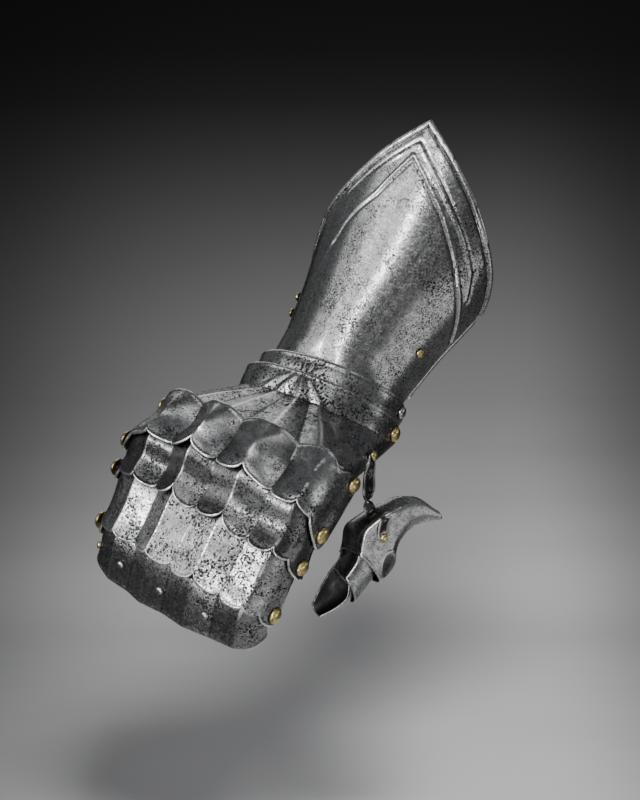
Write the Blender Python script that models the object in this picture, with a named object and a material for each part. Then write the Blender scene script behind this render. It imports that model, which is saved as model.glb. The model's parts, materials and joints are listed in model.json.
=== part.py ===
"""Mitten gauntlet for the right hand: a pointed cuff, overlapping steel lames and a hinged thumb.

The plates are drawn in a forearm frame, in millimetres: +X runs towards the thumb, +Y towards the
palm and +Z towards the elbow, with the origin at the wrist pivots. One empty turns that frame into
the attitude in which the gauntlet is held up. Every plate is a shell lofted through ribs. A rib is
an arch over the back of the hand, and it reaches a little past the line of the side rivets.
"""

import math
from collections import namedtuple

import bmesh
import bpy
from mathutils import Matrix, Vector

MM = 0.001

# Attitude of the forearm when the gauntlet is held up, in degrees.
LEAN_SIDEWAYS = 30.0
LEAN_BACK = 13.0
TURN_ABOUT_FOREARM = 24.0
CUFF_MOUTH_Z = 69.0

# Plate stock, in millimetres.
WALL = 1.3
PLATE_GAP = 1.1
LAYER = WALL + PLATE_GAP
FIT_GAP = 0.3

# Grid density.
SPAN_STEPS = 3
EDGE_STEPS = 5
LOBES = 8

# Places across the back of the hand, as parts of its half width: valleys and ridges of the fingers.
LOBE_PLACES = (0.0, 0.26, 0.52, 0.78)

# Rivets, in millimetres.
RIVET_HEAD_R = 4.1
RIVET_HEAD_H = 2.6
RIVET_SHANK_R = 1.5
HOLE_R = 1.95
SMALL_HEAD_R = 1.9
PEEN_R = 2.6
PEEN_H = 0.8
PEEN_GAP = 1.9
ROUND_STEPS = 10

# A hinge is a pair of side pivots: the middle of its axis, the surface of revolution on which the
# plates slide there, and the axis's tilt in degrees towards the little finger. Each side has its
# own squareness, and its own reach of the plates past the axis.
Hinge = namedtuple("Hinge", "y z half_width depth tilt little thumb")
Side = namedtuple("Side", "power lap")
Rib = namedtuple("Rib", "hinge layer slope offset ridge")
RimPoint = namedtuple("RimPoint", "angle height")
CuffRing = namedtuple("CuffRing", "z half_width depth")

WRIST = Hinge(0.0, -7.9, 39.1, 39.1, tilt=11.0, little=Side(2.0, 6.5), thumb=Side(2.0, 6.5))
HEEL = Hinge(-1.0, -18.7, 42.2, 42.2, tilt=9.0, little=Side(2.0, 6.5), thumb=Side(2.0, 6.5))
KNUCKLE = Hinge(-43.0, -53.4, 56.5, 27.0, tilt=5.0, little=Side(2.0, 6.5), thumb=Side(2.6, 8.0))
FINGER_1 = Hinge(-53.4, -81.6, 60.0, 23.2, tilt=2.0, little=Side(2.0, 5.5), thumb=Side(3.4, 10.5))
FINGER_2 = Hinge(-50.7, -98.7, 58.0, 17.5, tilt=0.0, little=Side(2.0, 6.5), thumb=Side(3.6, 10.0))
FINGER_3 = Hinge(-43.1, -126.4, 54.5, 17.5, tilt=0.0, little=Side(2.0, 6.5), thumb=Side(3.2, 9.0))
FINGER_END = Hinge(-33.0, -142.0, 53.5, 15.5, tilt=0.0, little=Side(2.0, 6.0), thumb=Side(3.0, 7.0))

# Cuff: height of the pointed rim around the forearm, from the little-finger edge to the thumb edge.
CUFF_RIM = (
    RimPoint(angle=-100.0, height=38.0),
    RimPoint(angle=-80.0, height=50.0),
    RimPoint(angle=-60.0, height=73.0),
    RimPoint(angle=-40.0, height=92.0),
    RimPoint(angle=-20.0, height=115.0),
    RimPoint(angle=0.0, height=137.0),
    RimPoint(angle=20.0, height=126.0),
    RimPoint(angle=40.0, height=113.5),
    RimPoint(angle=60.0, height=99.0),
    RimPoint(angle=80.0, height=85.0),
    RimPoint(angle=100.0, height=69.0),
)
CUFF_RINGS = (
    CuffRing(z=-20.0, half_width=37.0, depth=36.8),
    CuffRing(z=8.0, half_width=36.9, depth=36.8),
    CuffRing(z=20.0, half_width=38.6, depth=38.6),
    CuffRing(z=34.0, half_width=40.9, depth=40.6),
    CuffRing(z=50.0, half_width=44.9, depth=42.8),
    CuffRing(z=65.0, half_width=48.4, depth=45.2),
    CuffRing(z=80.0, half_width=51.0, depth=47.6),
    CuffRing(z=110.0, half_width=53.5, depth=52.4),
    CuffRing(z=137.0, half_width=54.0, depth=57.0),
)
CUFF_LOW_MIDDLE_Z = -13.0
CUFF_LOW_SLANT = 0.19
CUFF_ROWS = 11
CUFF_SPAN_STEPS = 24
CUFF_ROLL = 1.0

# Inner plate that closes the cuff under the forearm.
INNER_LOW_Z = 10.0
INNER_HIGH_Z = 62.0
INNER_FROM_ANGLE = 104.0
INNER_TO_ANGLE = 252.0

# Thumb hinge: place of its barrel in the forearm frame.
THUMB_HINGE = (62.0, -21.0, -53.0)
BARREL_R = 2.8
BARREL_LENGTH = 11.0

# Leaf hinge on the little-finger edge of the cuff.
INNER_LOW_SIDE_Z = 34.0
INNER_HINGE_ANGLE = 256.5
INNER_HINGE_LOW = 17.0
INNER_HINGE_HIGH = 31.0
INNER_BARREL_R = 1.6
LEAF_WALL = 1.0
STUD_R = 2.4
STUD_LIFT = 0.5
CUFF_SMALL_RIVETS = ((-84.0, 19.5), (-84.0, 28.5), (-92.0, 24.0), (70.0, 32.0))

# Ribs of the hand plates, from the hidden upper edge of each plate to its rim. Slope is the tip of a
# rib towards the elbow in degrees; offset is how far it lies beyond the axis.
WRIST_BAND = (
    Rib(WRIST, LAYER, slope=4.0, offset=-5.5, ridge=0.0),
    Rib(WRIST, LAYER, slope=0.0, offset=2.6, ridge=0.0),
    Rib(HEEL, 0.0, slope=4.0, offset=-2.6, ridge=0.0),
    Rib(HEEL, 0.0, slope=-3.0, offset=5.5, ridge=0.0),
)
HAND_BACK = (
    Rib(HEEL, LAYER, slope=4.0, offset=-6.2, ridge=0.0),
    Rib(HEEL, LAYER, slope=-1.0, offset=4.0, ridge=1.0),
    Rib(KNUCKLE, 0.0, slope=1.0, offset=-5.0, ridge=4.0),
    Rib(KNUCKLE, 0.0, slope=-2.0, offset=3.8, ridge=4.5),
)
KNUCKLE_PLATE = (
    Rib(KNUCKLE, LAYER, slope=4.0, offset=-5.5, ridge=4.5),
    Rib(KNUCKLE, LAYER, slope=-3.0, offset=4.0, ridge=7.0),
    Rib(FINGER_1, LAYER, slope=20.0, offset=-5.0, ridge=8.0),
    Rib(FINGER_1, LAYER, slope=27.0, offset=5.0, ridge=5.5),
)
FINGER_LAME_1 = (
    Rib(FINGER_1, 0.0, slope=32.0, offset=-4.0, ridge=5.0),
    Rib(FINGER_1, 0.0, slope=24.0, offset=4.5, ridge=5.0),
    Rib(FINGER_2, LAYER, slope=17.0, offset=-4.5, ridge=5.0),
    Rib(FINGER_2, LAYER, slope=8.0, offset=5.75, ridge=4.5),
)
FINGER_LAME_2 = (
    Rib(FINGER_2, 0.0, slope=34.0, offset=-4.0, ridge=4.5),
    Rib(FINGER_2, 0.0, slope=8.0, offset=5.0, ridge=4.5),
    Rib(FINGER_3, LAYER, slope=2.0, offset=-4.5, ridge=4.0),
    Rib(FINGER_3, LAYER, slope=-6.0, offset=6.0, ridge=4.0),
)
FINGERTIP = (
    Rib(FINGER_3, 0.0, slope=26.0, offset=-4.0, ridge=4.0),
    Rib(FINGER_3, 0.0, slope=-8.0, offset=5.5, ridge=3.6),
    Rib(FINGER_END, 0.0, slope=-48.0, offset=0.0, ridge=2.5),
)
FINGERTIP_RIVETS = ((-3.4, 1.45), (-2.2, 1.45), (-0.2, 1.5), (1.9, 1.5))

# Thumb ribs, in millimetres from the hinge, in an upright frame: middle of the opening, and back.
ThumbRib = namedtuple("ThumbRib", "open_x open_z back_x back_z half_width")
THUMB_SIDEWAYS = (-0.4, 0.9, -0.05)
THUMB_WRAP = 96.0
THUMB_WALL = 1.2
THUMB_LEAF_FROM = 2.55
THUMB_LEAF_TO = 3.35
THUMB_LEAF_SEAT = (((4.0, 1.72), 3.6), ((3.72, 1.5), 2.6))
THUMB_BASE = (
    ThumbRib(open_x=35.8, open_z=-3.2, back_x=37.2, back_z=-6.4, half_width=2.5),
    ThumbRib(open_x=25.0, open_z=2.4, back_x=26.5, back_z=-8.6, half_width=7.5),
    ThumbRib(open_x=15.5, open_z=1.2, back_x=18.5, back_z=-13.0, half_width=10.0),
    ThumbRib(open_x=4.0, open_z=-5.5, back_x=13.8, back_z=-20.5, half_width=12.0),
    ThumbRib(open_x=-5.5, open_z=-13.5, back_x=12.5, back_z=-31.0, half_width=13.5),
    ThumbRib(open_x=-8.0, open_z=-26.0, back_x=5.0, back_z=-39.5, half_width=13.5),
)
THUMB_MIDDLE = (
    ThumbRib(open_x=-7.5, open_z=-21.0, back_x=4.5, back_z=-32.5, half_width=11.2),
    ThumbRib(open_x=-9.5, open_z=-29.0, back_x=0.5, back_z=-39.0, half_width=11.0),
    ThumbRib(open_x=-15.5, open_z=-37.5, back_x=-8.0, back_z=-50.0, half_width=11.0),
)
THUMB_TIP = (
    ThumbRib(open_x=-13.5, open_z=-33.0, back_x=-5.5, back_z=-44.0, half_width=8.6),
    ThumbRib(open_x=-18.5, open_z=-41.0, back_x=-12.0, back_z=-51.0, half_width=8.6),
    ThumbRib(open_x=-27.0, open_z=-52.5, back_x=-25.0, back_z=-57.5, half_width=5.0),
)


def steel(name, colour, roughness, metallic=1.0):
    """A Principled material with the colour, roughness and metallic value of a metal."""
    material = bpy.data.materials.new(name)
    material.use_nodes = True
    shader = material.node_tree.nodes["Principled BSDF"]
    shader.inputs["Base Color"].default_value = (*colour, 1.0)
    shader.inputs["Roughness"].default_value = roughness
    shader.inputs["Metallic"].default_value = metallic
    material.diffuse_color = (*colour, 1.0)
    return material


def clear_scene():
    """Remove everything that is in the scene."""
    for item in list(bpy.data.objects):
        bpy.data.objects.remove(item, do_unlink=True)


def unit_in_section(slope):
    """Outward and distal directions of a rib that is tipped towards the elbow by slope degrees."""
    tip = math.radians(slope)
    outward = Vector((0.0, -math.cos(tip), math.sin(tip)))
    distal = Vector((0.0, -math.sin(tip), -math.cos(tip)))
    return outward, distal


def signed_power(value, power):
    """A power of a number that keeps its sign."""
    return math.copysign(abs(value) ** power, value)


def arch_angle(power, lap, across):
    """Angle in a rib's superellipse for a place across the back counted in lobes, -4 to 4."""
    place = abs(across)
    last = len(LOBE_PLACES) - 1
    angles = [math.asin(part ** (power / 2.0)) for part in LOBE_PLACES]
    if place >= last:
        lap_angle = math.acos(-lap ** (power / 2.0))
        return angles[last] + (lap_angle - angles[last]) * (place - last)
    step = int(place)
    return angles[step] + (angles[step + 1] - angles[step]) * (place - step)


def ridge_height(across):
    """1 on the middle line of each finger and 0 in the valleys between them and at the edges."""
    return 1.0 - abs(abs(across) % 2.0 - 1.0)


def hinge_turn(hinge):
    """Rotation of a hinge's axis from the sideways direction of the hand."""
    return Matrix.Rotation(math.radians(-hinge.tilt), 3, "Y")


def hinge_point(hinge):
    """Middle of a hinge's axis, in the forearm frame."""
    return Vector((0.0, hinge.y, hinge.z))


def arch_point(rib, across):
    """A point of a rib: a plane slice of the surface of revolution about the rib's hinge."""
    hinge = rib.hinge
    power, lap = hinge.thumb if across > 0.0 else hinge.little
    depth = hinge.depth + rib.layer
    reach = math.sqrt(depth ** 2 - rib.offset ** 2)
    turn = arch_angle(power, lap / reach, across)
    rise = reach * signed_power(math.cos(turn), 2.0 / power)
    spread = min(1.0, math.hypot(rise, rib.offset) / depth)
    width = (hinge.half_width + rib.layer) * (1.0 - spread ** power) ** (1.0 / power)
    outward, distal = unit_in_section(rib.slope)
    rise += rib.ridge * ridge_height(across)
    foot = Vector((math.copysign(width, across), 0.0, 0.0)) + distal * rib.offset
    return hinge_point(hinge) + hinge_turn(hinge) @ (foot + outward * rise)


def between(low, high, part, across):
    """A point that lies a given part of the way from one rib to the next."""
    if low[:2] == high[:2]:
        values = [a + (b - a) * part for a, b in zip(low[2:], high[2:])]
        return arch_point(Rib(low.hinge, low.layer, *values), across)
    return arch_point(low, across).lerp(arch_point(high, across), part)


def plate_point(stations, across, along):
    """A point of a plate; along counts the ribs from its hidden upper edge."""
    span = min(int(along), len(stations) - 2)
    return between(stations[span], stations[span + 1], along - span, across)


def cusp(across):
    """1 where two petals of a scalloped rim meet, and 0 in the middle of each and at the edges."""
    if abs(across) > LOBES / 2 - 0.5:
        return 0.0
    return abs(2.0 * (across % 1.0) - 1.0) ** 2.5


def plate_columns():
    """Places across the back of the hand at which plates have points, closer together at the sides."""
    half = LOBES / 2
    places = [half - step / EDGE_STEPS for step in range(EDGE_STEPS)]
    middle = [(half - 1) * (1.0 - step / SPAN_STEPS / (half - 1)) for step in
              range(int(2 * (half - 1) * SPAN_STEPS) + 1)]
    return [-place for place in places] + middle[::-1] + places[::-1]


def plate_grid(stations, rows_per_span, scallop):
    """Grid of points of a plate, from its hidden upper edge down to its rim."""
    spans = len(stations) - 1
    rows = spans * rows_per_span
    grid = []
    for row in range(rows + 1):
        line = []
        for across in plate_columns():
            along = row / rows * (spans - scallop * cusp(across))
            line.append(plate_point(stations, across, along))
        grid.append(line)
    return grid


def grid_normals(grid, outside):
    """Unit normals of a grid, on the side that the given function says is outside."""
    rows = len(grid)
    columns = len(grid[0])
    normals = []
    for row in range(rows):
        line = []
        for column in range(columns):
            along = grid[min(row + 1, rows - 1)][column] - grid[max(row - 1, 0)][column]
            across = grid[row][min(column + 1, columns - 1)] - grid[row][max(column - 1, 0)]
            normal = across.cross(along).normalized()
            if normal.dot(outside(row, column)) < 0.0:
                normal.negate()
            line.append(normal)
        normals.append(line)
    return normals


def shell_mesh(name, grid, outside, origin, wall=WALL):
    """A closed wall of even thickness inside a grid of points, measured from an origin."""
    normals = grid_normals(grid, outside)
    rows = len(grid)
    columns = len(grid[0])
    work = bmesh.new()
    outer = [[work.verts.new((p - origin) * MM) for p in line] for line in grid]
    inner = []
    for line, normal_line in zip(grid, normals):
        inner.append([work.verts.new((p - n * wall - origin) * MM) for p, n in zip(line, normal_line)])
    for row in range(rows - 1):
        for column in range(columns - 1):
            for sheet in (outer, inner):
                low = sheet[row]
                high = sheet[row + 1]
                work.faces.new((low[column], low[column + 1], high[column + 1], high[column]))
    for row in range(rows - 1):
        for column in (0, columns - 1):
            work.faces.new((outer[row][column], outer[row + 1][column],
                            inner[row + 1][column], inner[row][column]))
    for column in range(columns - 1):
        for row in (0, rows - 1):
            work.faces.new((outer[row][column], outer[row][column + 1],
                            inner[row][column + 1], inner[row][column]))
    bmesh.ops.triangulate(work, faces=work.faces)
    bmesh.ops.recalc_face_normals(work, faces=work.faces)
    mesh = bpy.data.meshes.new(name)
    work.to_mesh(mesh)
    work.free()
    mesh.shade_smooth()
    mesh.set_sharp_from_angle(angle=math.radians(25.0))
    return mesh


def lathe_mesh(name, profile, steps=ROUND_STEPS):
    """A solid turned about the X axis; the profile runs from axis to axis as (x, radius) pairs."""
    work = bmesh.new()
    rings = []
    for x, radius in profile:
        if radius == 0.0:
            rings.append([work.verts.new((x * MM, 0.0, 0.0))])
            continue
        ring = []
        for step in range(steps):
            turn = 2.0 * math.pi * step / steps
            ring.append(work.verts.new((x * MM, radius * math.cos(turn) * MM,
                                        radius * math.sin(turn) * MM)))
        rings.append(ring)
    for low, high in zip(rings, rings[1:]):
        for step in range(steps):
            following = (step + 1) % steps
            if len(low) == 1:
                work.faces.new((low[0], high[step], high[following]))
            elif len(high) == 1:
                work.faces.new((low[step], low[following], high[0]))
            else:
                work.faces.new((low[step], low[following], high[following], high[step]))
    bmesh.ops.recalc_face_normals(work, faces=work.faces)
    mesh = bpy.data.meshes.new(name)
    work.to_mesh(mesh)
    work.free()
    mesh.shade_smooth()
    mesh.set_sharp_from_angle(angle=math.radians(35.0))
    return mesh


def add_object(name, mesh, material, parent, location):
    """Link a mesh as a named object, with a material, under a parent, at a place in millimetres."""
    item = bpy.data.objects.new(name, mesh)
    bpy.context.scene.collection.objects.link(item)
    if material is not None:
        mesh.materials.append(material)
    item.parent = parent
    item.location = Vector(location) * MM
    return item


def add_empty(name, location, rotation):
    """An empty that carries pieces, at a place in millimetres."""
    item = bpy.data.objects.new(name, None)
    bpy.context.scene.collection.objects.link(item)
    item.location = Vector(location) * MM
    item.rotation_euler = rotation.to_euler()
    return item


def dome_profile(base, radius, height, steps=3):
    """Rows of a domed head, from its crown down to its edge; base is the x of its flat side."""
    rows = [(base + height, 0.0)]
    for step in range(1, steps + 1):
        turn = 0.5 * math.pi * step / steps
        rows.append((base + height * math.cos(turn), radius * math.sin(turn)))
    return rows


def add_hole_cutter(name, hinge, frame):
    """A bar along a hinge's axis that bores both side walls."""
    reach = hinge.half_width + 12.0
    profile = [(-reach, 0.0), (-reach, HOLE_R), (reach, HOLE_R), (reach, 0.0)]
    cutter = add_object(name, lathe_mesh(name, profile), None, frame, hinge_point(hinge))
    cutter.rotation_euler = hinge_turn(hinge).to_euler()
    cutter.hide_render = True
    cutter.display_type = "WIRE"
    return cutter


def bore(item, cutters):
    """Cut the rivet holes of a plate."""
    for cutter in cutters:
        cut = item.modifiers.new("rivet_holes", "BOOLEAN")
        cut.operation = "DIFFERENCE"
        cut.solver = "EXACT"
        cut.object = cutter


def add_plate(name, stations, hinge, frame, material, scallop=0.0, rows_per_span=2):
    """A plate of the hand, placed on the axis of the hinge at its upper edge."""
    grid = plate_grid(stations, rows_per_span, scallop)
    centre = sum((line[len(line) // 2] for line in grid), Vector()) / len(grid)
    inward = Vector((0.0, centre.y + 60.0, centre.z))

    def outside(row, column):
        return grid[row][column] - inward

    origin = hinge_point(hinge)
    mesh = shell_mesh(name, grid, outside, origin)
    return add_object(name, mesh, material, frame, origin)


def surface_drop(hinge, radius):
    """How far the side of a plate falls away at a radius from its pivot."""
    return hinge.half_width * (1.0 - math.sqrt(1.0 - (radius / hinge.depth) ** 2))


def add_pivot_rivets(name, hinge, inner_wall, head, frame, material):
    """A domed rivet on each side that joins two plates on a hinge; head scales its dome."""
    outer = hinge.half_width + LAYER + FIT_GAP
    inner = inner_wall - WALL - surface_drop(hinge, PEEN_R) - PEEN_GAP
    profile = dome_profile(outer, RIVET_HEAD_R * head, RIVET_HEAD_H * head)
    profile += [(outer, RIVET_SHANK_R), (inner, RIVET_SHANK_R), (inner, PEEN_R)]
    profile += [(inner - PEEN_H, PEEN_R), (inner - PEEN_H, 0.0)]
    for side, label in ((1.0, "thumb_side"), (-1.0, "little_side")):
        rows = [(x * side, r) for x, r in profile]
        rivet = add_object(f"{name}_{label}", lathe_mesh(name, rows), material, frame,
                           hinge_point(hinge))
        rivet.rotation_euler = hinge_turn(hinge).to_euler()


def cuff_ring(z):
    """Half width and depth of the cuff at a height, smoothly between the rings of its table."""
    last = len(CUFF_RINGS) - 2
    index = 0
    while index < last and z > CUFF_RINGS[index + 1].z:
        index += 1
    low = CUFF_RINGS[index]
    high = CUFF_RINGS[index + 1]
    before = CUFF_RINGS[max(index - 1, 0)]
    after = CUFF_RINGS[min(index + 2, last + 1)]
    step = high.z - low.z
    part = (z - low.z) / step
    values = []
    for column in (1, 2):
        rise_low = (high[column] - before[column]) / (high.z - before.z) * step
        rise_high = (after[column] - low[column]) / (after.z - low.z) * step
        gain = high[column] - low[column]
        cubic = rise_low + rise_high - 2.0 * gain
        square = 3.0 * gain - 2.0 * rise_low - rise_high
        values.append(low[column] + part * (rise_low + part * (square + part * cubic)))
    return values


def cuff_point(angle, z, lift=0.0):
    """A point of the cuff's outer face; angle in degrees from the back towards the thumb."""
    turn = math.radians(angle)
    half_width, depth = cuff_ring(z)
    return Vector(((half_width + lift) * math.sin(turn), -(depth + lift) * math.cos(turn), z))


def rim_height(angle):
    """Height of the cuff's pointed rim at an angle round the forearm."""
    for low, high in zip(CUFF_RIM, CUFF_RIM[1:]):
        if angle <= high.angle:
            part = (angle - low.angle) / (high.angle - low.angle)
            return low.height + (high.height - low.height) * part
    return CUFF_RIM[-1].height


def round_outside(grid):
    """Outward direction for plates that wrap the forearm."""
    def outside(row, column):
        point = grid[row][column]
        return Vector((point.x, point.y, 0.0))
    return outside


def add_cuff(frame, material):
    """The pointed gutter plate over the back of the forearm, with a thick rim."""
    grid = []
    lap = CUFF_RIM[-1].angle
    for row in range(CUFF_ROWS + 1):
        part = row / CUFF_ROWS
        line = []
        for column in range(CUFF_SPAN_STEPS + 1):
            angle = -lap + 2.0 * lap * column / CUFF_SPAN_STEPS
            low = CUFF_LOW_MIDDLE_Z + CUFF_LOW_SLANT * cuff_point(angle, 0.0).x
            z = low + (rim_height(angle) - low) * part
            lift = CUFF_ROLL if row == CUFF_ROWS else 0.0
            line.append(cuff_point(angle, z, lift))
        grid.append(line)
    mesh = shell_mesh("cuff", grid, round_outside(grid), Vector())
    return add_object("cuff", mesh, material, frame, (0.0, 0.0, 0.0))


def patch_grid(surface, first_span, second_span, steps):
    """Grid of points over a rectangle of a surface's two parameters."""
    grid = []
    for row in range(steps[1] + 1):
        second = second_span[0] + (second_span[1] - second_span[0]) * row / steps[1]
        line = []
        for column in range(steps[0] + 1):
            first = first_span[0] + (first_span[1] - first_span[0]) * column / steps[0]
            line.append(surface(first, second))
        grid.append(line)
    return grid


def add_inner_plate(frame, steel_material, brass_material):
    """The plate that closes the cuff under the forearm, its hinge, and the stud that keeps it shut."""
    axis_low = cuff_point(INNER_HINGE_ANGLE, INNER_HINGE_LOW)
    axis_high = cuff_point(INNER_HINGE_ANGLE, INNER_HINGE_HIGH)
    middle = (axis_low + axis_high) / 2.0

    def inner_surface(angle, part):
        side = (angle - INNER_FROM_ANGLE) / (INNER_TO_ANGLE - INNER_FROM_ANGLE)
        high = INNER_HIGH_Z - (INNER_HIGH_Z - INNER_LOW_SIDE_Z) * side
        return cuff_point(angle, INNER_LOW_Z + (high - INNER_LOW_Z) * part)

    grid = patch_grid(inner_surface, (INNER_FROM_ANGLE, INNER_TO_ANGLE), (0.0, 1.0), (16, 3))
    mesh = shell_mesh("inner_cuff_plate", grid, round_outside(grid), middle)
    add_object("inner_cuff_plate", mesh, steel_material, frame, middle)

    half = (axis_high - axis_low).length / 2.0
    profile = [(-half, 0.0), (-half, INNER_BARREL_R), (half, INNER_BARREL_R), (half, 0.0)]
    barrel = lathe_mesh("inner_plate_hinge_pin", profile)
    pin = add_object("inner_plate_hinge_pin", barrel, steel_material, frame, middle)
    pin.rotation_euler = (axis_high - axis_low).to_track_quat("X", "Z").to_euler()

    leaves = (
        ("cuff_hinge_leaf", INNER_HINGE_ANGLE + 3.0, INNER_HINGE_ANGLE + 26.0),
        ("inner_plate_hinge_leaf", INNER_HINGE_ANGLE - 16.0, INNER_HINGE_ANGLE - 3.6),
    )
    for name, start, end in leaves:
        leaf = patch_grid(lambda angle, z: cuff_point(angle, z, FIT_GAP + LEAF_WALL),
                          (start, end), (INNER_HINGE_LOW, INNER_HINGE_HIGH), (6, 2))
        mesh = shell_mesh(name, leaf, round_outside(leaf), middle, LEAF_WALL)
        add_object(name, mesh, steel_material, frame, middle)

    for index, (angle, z) in enumerate(CUFF_SMALL_RIVETS):
        lift = FIT_GAP + LEAF_WALL if angle < 0.0 else 0.0
        radius = SMALL_HEAD_R if angle < 0.0 else STUD_R
        outside = cuff_point(angle, z, 10.0)
        add_stud(f"cuff_rivet_{index + 1}", lambda a, b: cuff_point(a, b, lift), (angle, z),
                 outside, radius, frame, brass_material)


def surface_normal(surface, place, outside):
    """Unit normal of a surface at a place, on the side that faces a point outside it."""
    first, second = place
    across = surface(first + 0.01, second) - surface(first - 0.01, second)
    along = surface(first, second + 0.01) - surface(first, second - 0.01)
    normal = across.cross(along).normalized()
    if normal.dot(outside - surface(first, second)) < 0.0:
        normal.negate()
    return normal


def add_stud(name, surface, place, outside, radius, frame, material):
    """A small domed head that sits on a surface, on the side that faces a point outside it."""
    normal = surface_normal(surface, place, outside)
    profile = dome_profile(0.0, radius, radius * 0.6, 2) + [(0.0, 0.0)]
    stud = add_object(name, lathe_mesh(name, profile, 8), material, frame,
                      surface(*place) + normal * STUD_LIFT)
    stud.rotation_euler = normal.to_track_quat("X", "Z").to_euler()
    return stud


def hand_back_point(across, along):
    """A point of the outer face of the hand back plate."""
    return plate_point(HAND_BACK, across, along)


def thumb_rib(station):
    """Middle of the opening, outward direction, depth and half width of a rib of the thumb."""
    opening = Vector((station.open_x, 0.0, station.open_z))
    crown = Vector((station.back_x, 0.0, station.back_z))
    return opening, crown - opening, station.half_width


def thumb_point(stations, angle, along, lift=0.0):
    """A point of a thumb plate; angle in degrees from its back, along counted in stations."""
    span = min(int(along), len(stations) - 2)
    part = along - span
    values = [a + (b - a) * part for a, b in zip(stations[span], stations[span + 1])]
    opening, rise, half_width = thumb_rib(ThumbRib(*values))
    turn = math.radians(angle)
    depth = rise.length
    side = Vector(THUMB_SIDEWAYS).normalized()
    point = opening + side * (half_width + lift) * math.sin(turn)
    return point + rise * ((depth + lift) / depth) * math.cos(turn)


def add_thumb(thumb_frame, hand_frame, steel_material, brass_material, turn_back):
    """The hinged thumb defence: three gutter plates below a barrel that hangs from two leaves."""
    plates = (
        ("thumb_base_plate", THUMB_BASE, 10),
        ("thumb_middle_lame", THUMB_MIDDLE, 4),
        ("thumb_tip_lame", THUMB_TIP, 4),
    )
    for name, stations, rows in plates:
        spans = len(stations) - 1
        grid = patch_grid(lambda angle, along: thumb_point(stations, angle, along),
                          (-THUMB_WRAP, THUMB_WRAP), (0.0, spans), (12, rows))
        ribs = [thumb_rib(ThumbRib(*values)) for values in stations]

        def outside(row, column):
            along = row / rows * spans
            opening = ribs[min(int(along), spans)][0]
            return grid[row][column] - opening

        mesh = shell_mesh(name, grid, outside, Vector(), THUMB_WALL)
        add_object(name, mesh, steel_material, thumb_frame, (0.0, 0.0, 0.0))

    half = BARREL_LENGTH / 2.0
    profile = [(-half, 0.0), (-half, BARREL_R), (half, BARREL_R), (half, 0.0)]
    barrel = add_object("thumb_hinge_barrel", lathe_mesh("thumb_hinge_barrel", profile),
                        steel_material, thumb_frame, (0.0, 0.0, 0.0))
    barrel.rotation_euler = (0.0, 0.0, math.radians(90.0))

    leaf = patch_grid(
        lambda angle, along: thumb_point(THUMB_BASE, angle, along, FIT_GAP + LEAF_WALL),
        (-THUMB_WRAP, -THUMB_WRAP + 34.0), (THUMB_LEAF_FROM, THUMB_LEAF_TO), (4, 4))
    mesh = shell_mesh("thumb_lower_leaf", leaf, lambda row, column: Vector((0.2, -1.0, 0.1)),
                      Vector(), LEAF_WALL)
    add_object("thumb_lower_leaf", mesh, steel_material, thumb_frame, (0.0, 0.0, 0.0))

    rivet_place = (THUMB_LEAF_FROM + THUMB_LEAF_TO) / 2.0
    add_stud("thumb_leaf_rivet",
             lambda angle, along: thumb_point(THUMB_BASE, angle, along, FIT_GAP + LEAF_WALL),
             (-THUMB_WRAP + 17.0, rivet_place), Vector((10.0, -60.0, 0.0)),
             SMALL_HEAD_R, thumb_frame, brass_material)

    hinge_at = Vector(THUMB_HINGE)
    across = turn_back @ Vector((0.0, 1.0, 0.0))
    up = turn_back @ Vector((0.0, 0.0, 1.0))
    rows = [(hinge_at + up * (BARREL_R + FIT_GAP), across * 4.5), (hinge_at + up * 9.0, across * 4.5)]
    for place, half in THUMB_LEAF_SEAT:
        normal = surface_normal(hand_back_point, place, Vector((200.0, -20.0, -40.0)))
        centre = hand_back_point(*place) + normal * (LEAF_WALL + 3.0 * FIT_GAP)
        side = normal.cross(centre - rows[-1][0]).normalized()
        if side.dot(across) < 0.0:
            side.negate()
        rows.append((centre, side * half))
    grid = [[centre - side, centre, centre + side] for centre, side in rows]
    mesh = shell_mesh("thumb_upper_leaf", grid, lambda row, column: Vector((1.0, 0.0, 0.0)),
                      hinge_point(HEEL), LEAF_WALL)
    add_object("thumb_upper_leaf", mesh, steel_material, hand_frame, hinge_point(HEEL))


HAND_PLATES = (
    ("wrist_lame", WRIST_BAND, WRIST, (WRIST, HEEL), 0.0),
    ("hand_back_plate", HAND_BACK, HEEL, (HEEL, KNUCKLE), 0.0),
    ("knuckle_plate", KNUCKLE_PLATE, KNUCKLE, (KNUCKLE, FINGER_1), 0.30),
    ("finger_lame_1", FINGER_LAME_1, FINGER_1, (FINGER_1, FINGER_2), 0.27),
    ("finger_lame_2", FINGER_LAME_2, FINGER_2, (FINGER_2, FINGER_3), 0.22),
    ("fingertip_lame", FINGERTIP, FINGER_3, (FINGER_3,), 0.0),
)

PIVOTS = (
    ("wrist_pivot", WRIST, CUFF_RINGS[0].half_width, 0.75, "steel"),
    ("heel_pivot", HEEL, HEEL.half_width, 0.9, "brass"),
    ("knuckle_pivot", KNUCKLE, KNUCKLE.half_width, 1.0, "brass"),
    ("finger_pivot_1", FINGER_1, FINGER_1.half_width, 1.0, "brass"),
    ("finger_pivot_2", FINGER_2, FINGER_2.half_width, 1.0, "brass"),
    ("finger_pivot_3", FINGER_3, FINGER_3.half_width, 1.0, "brass"),
)


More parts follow.
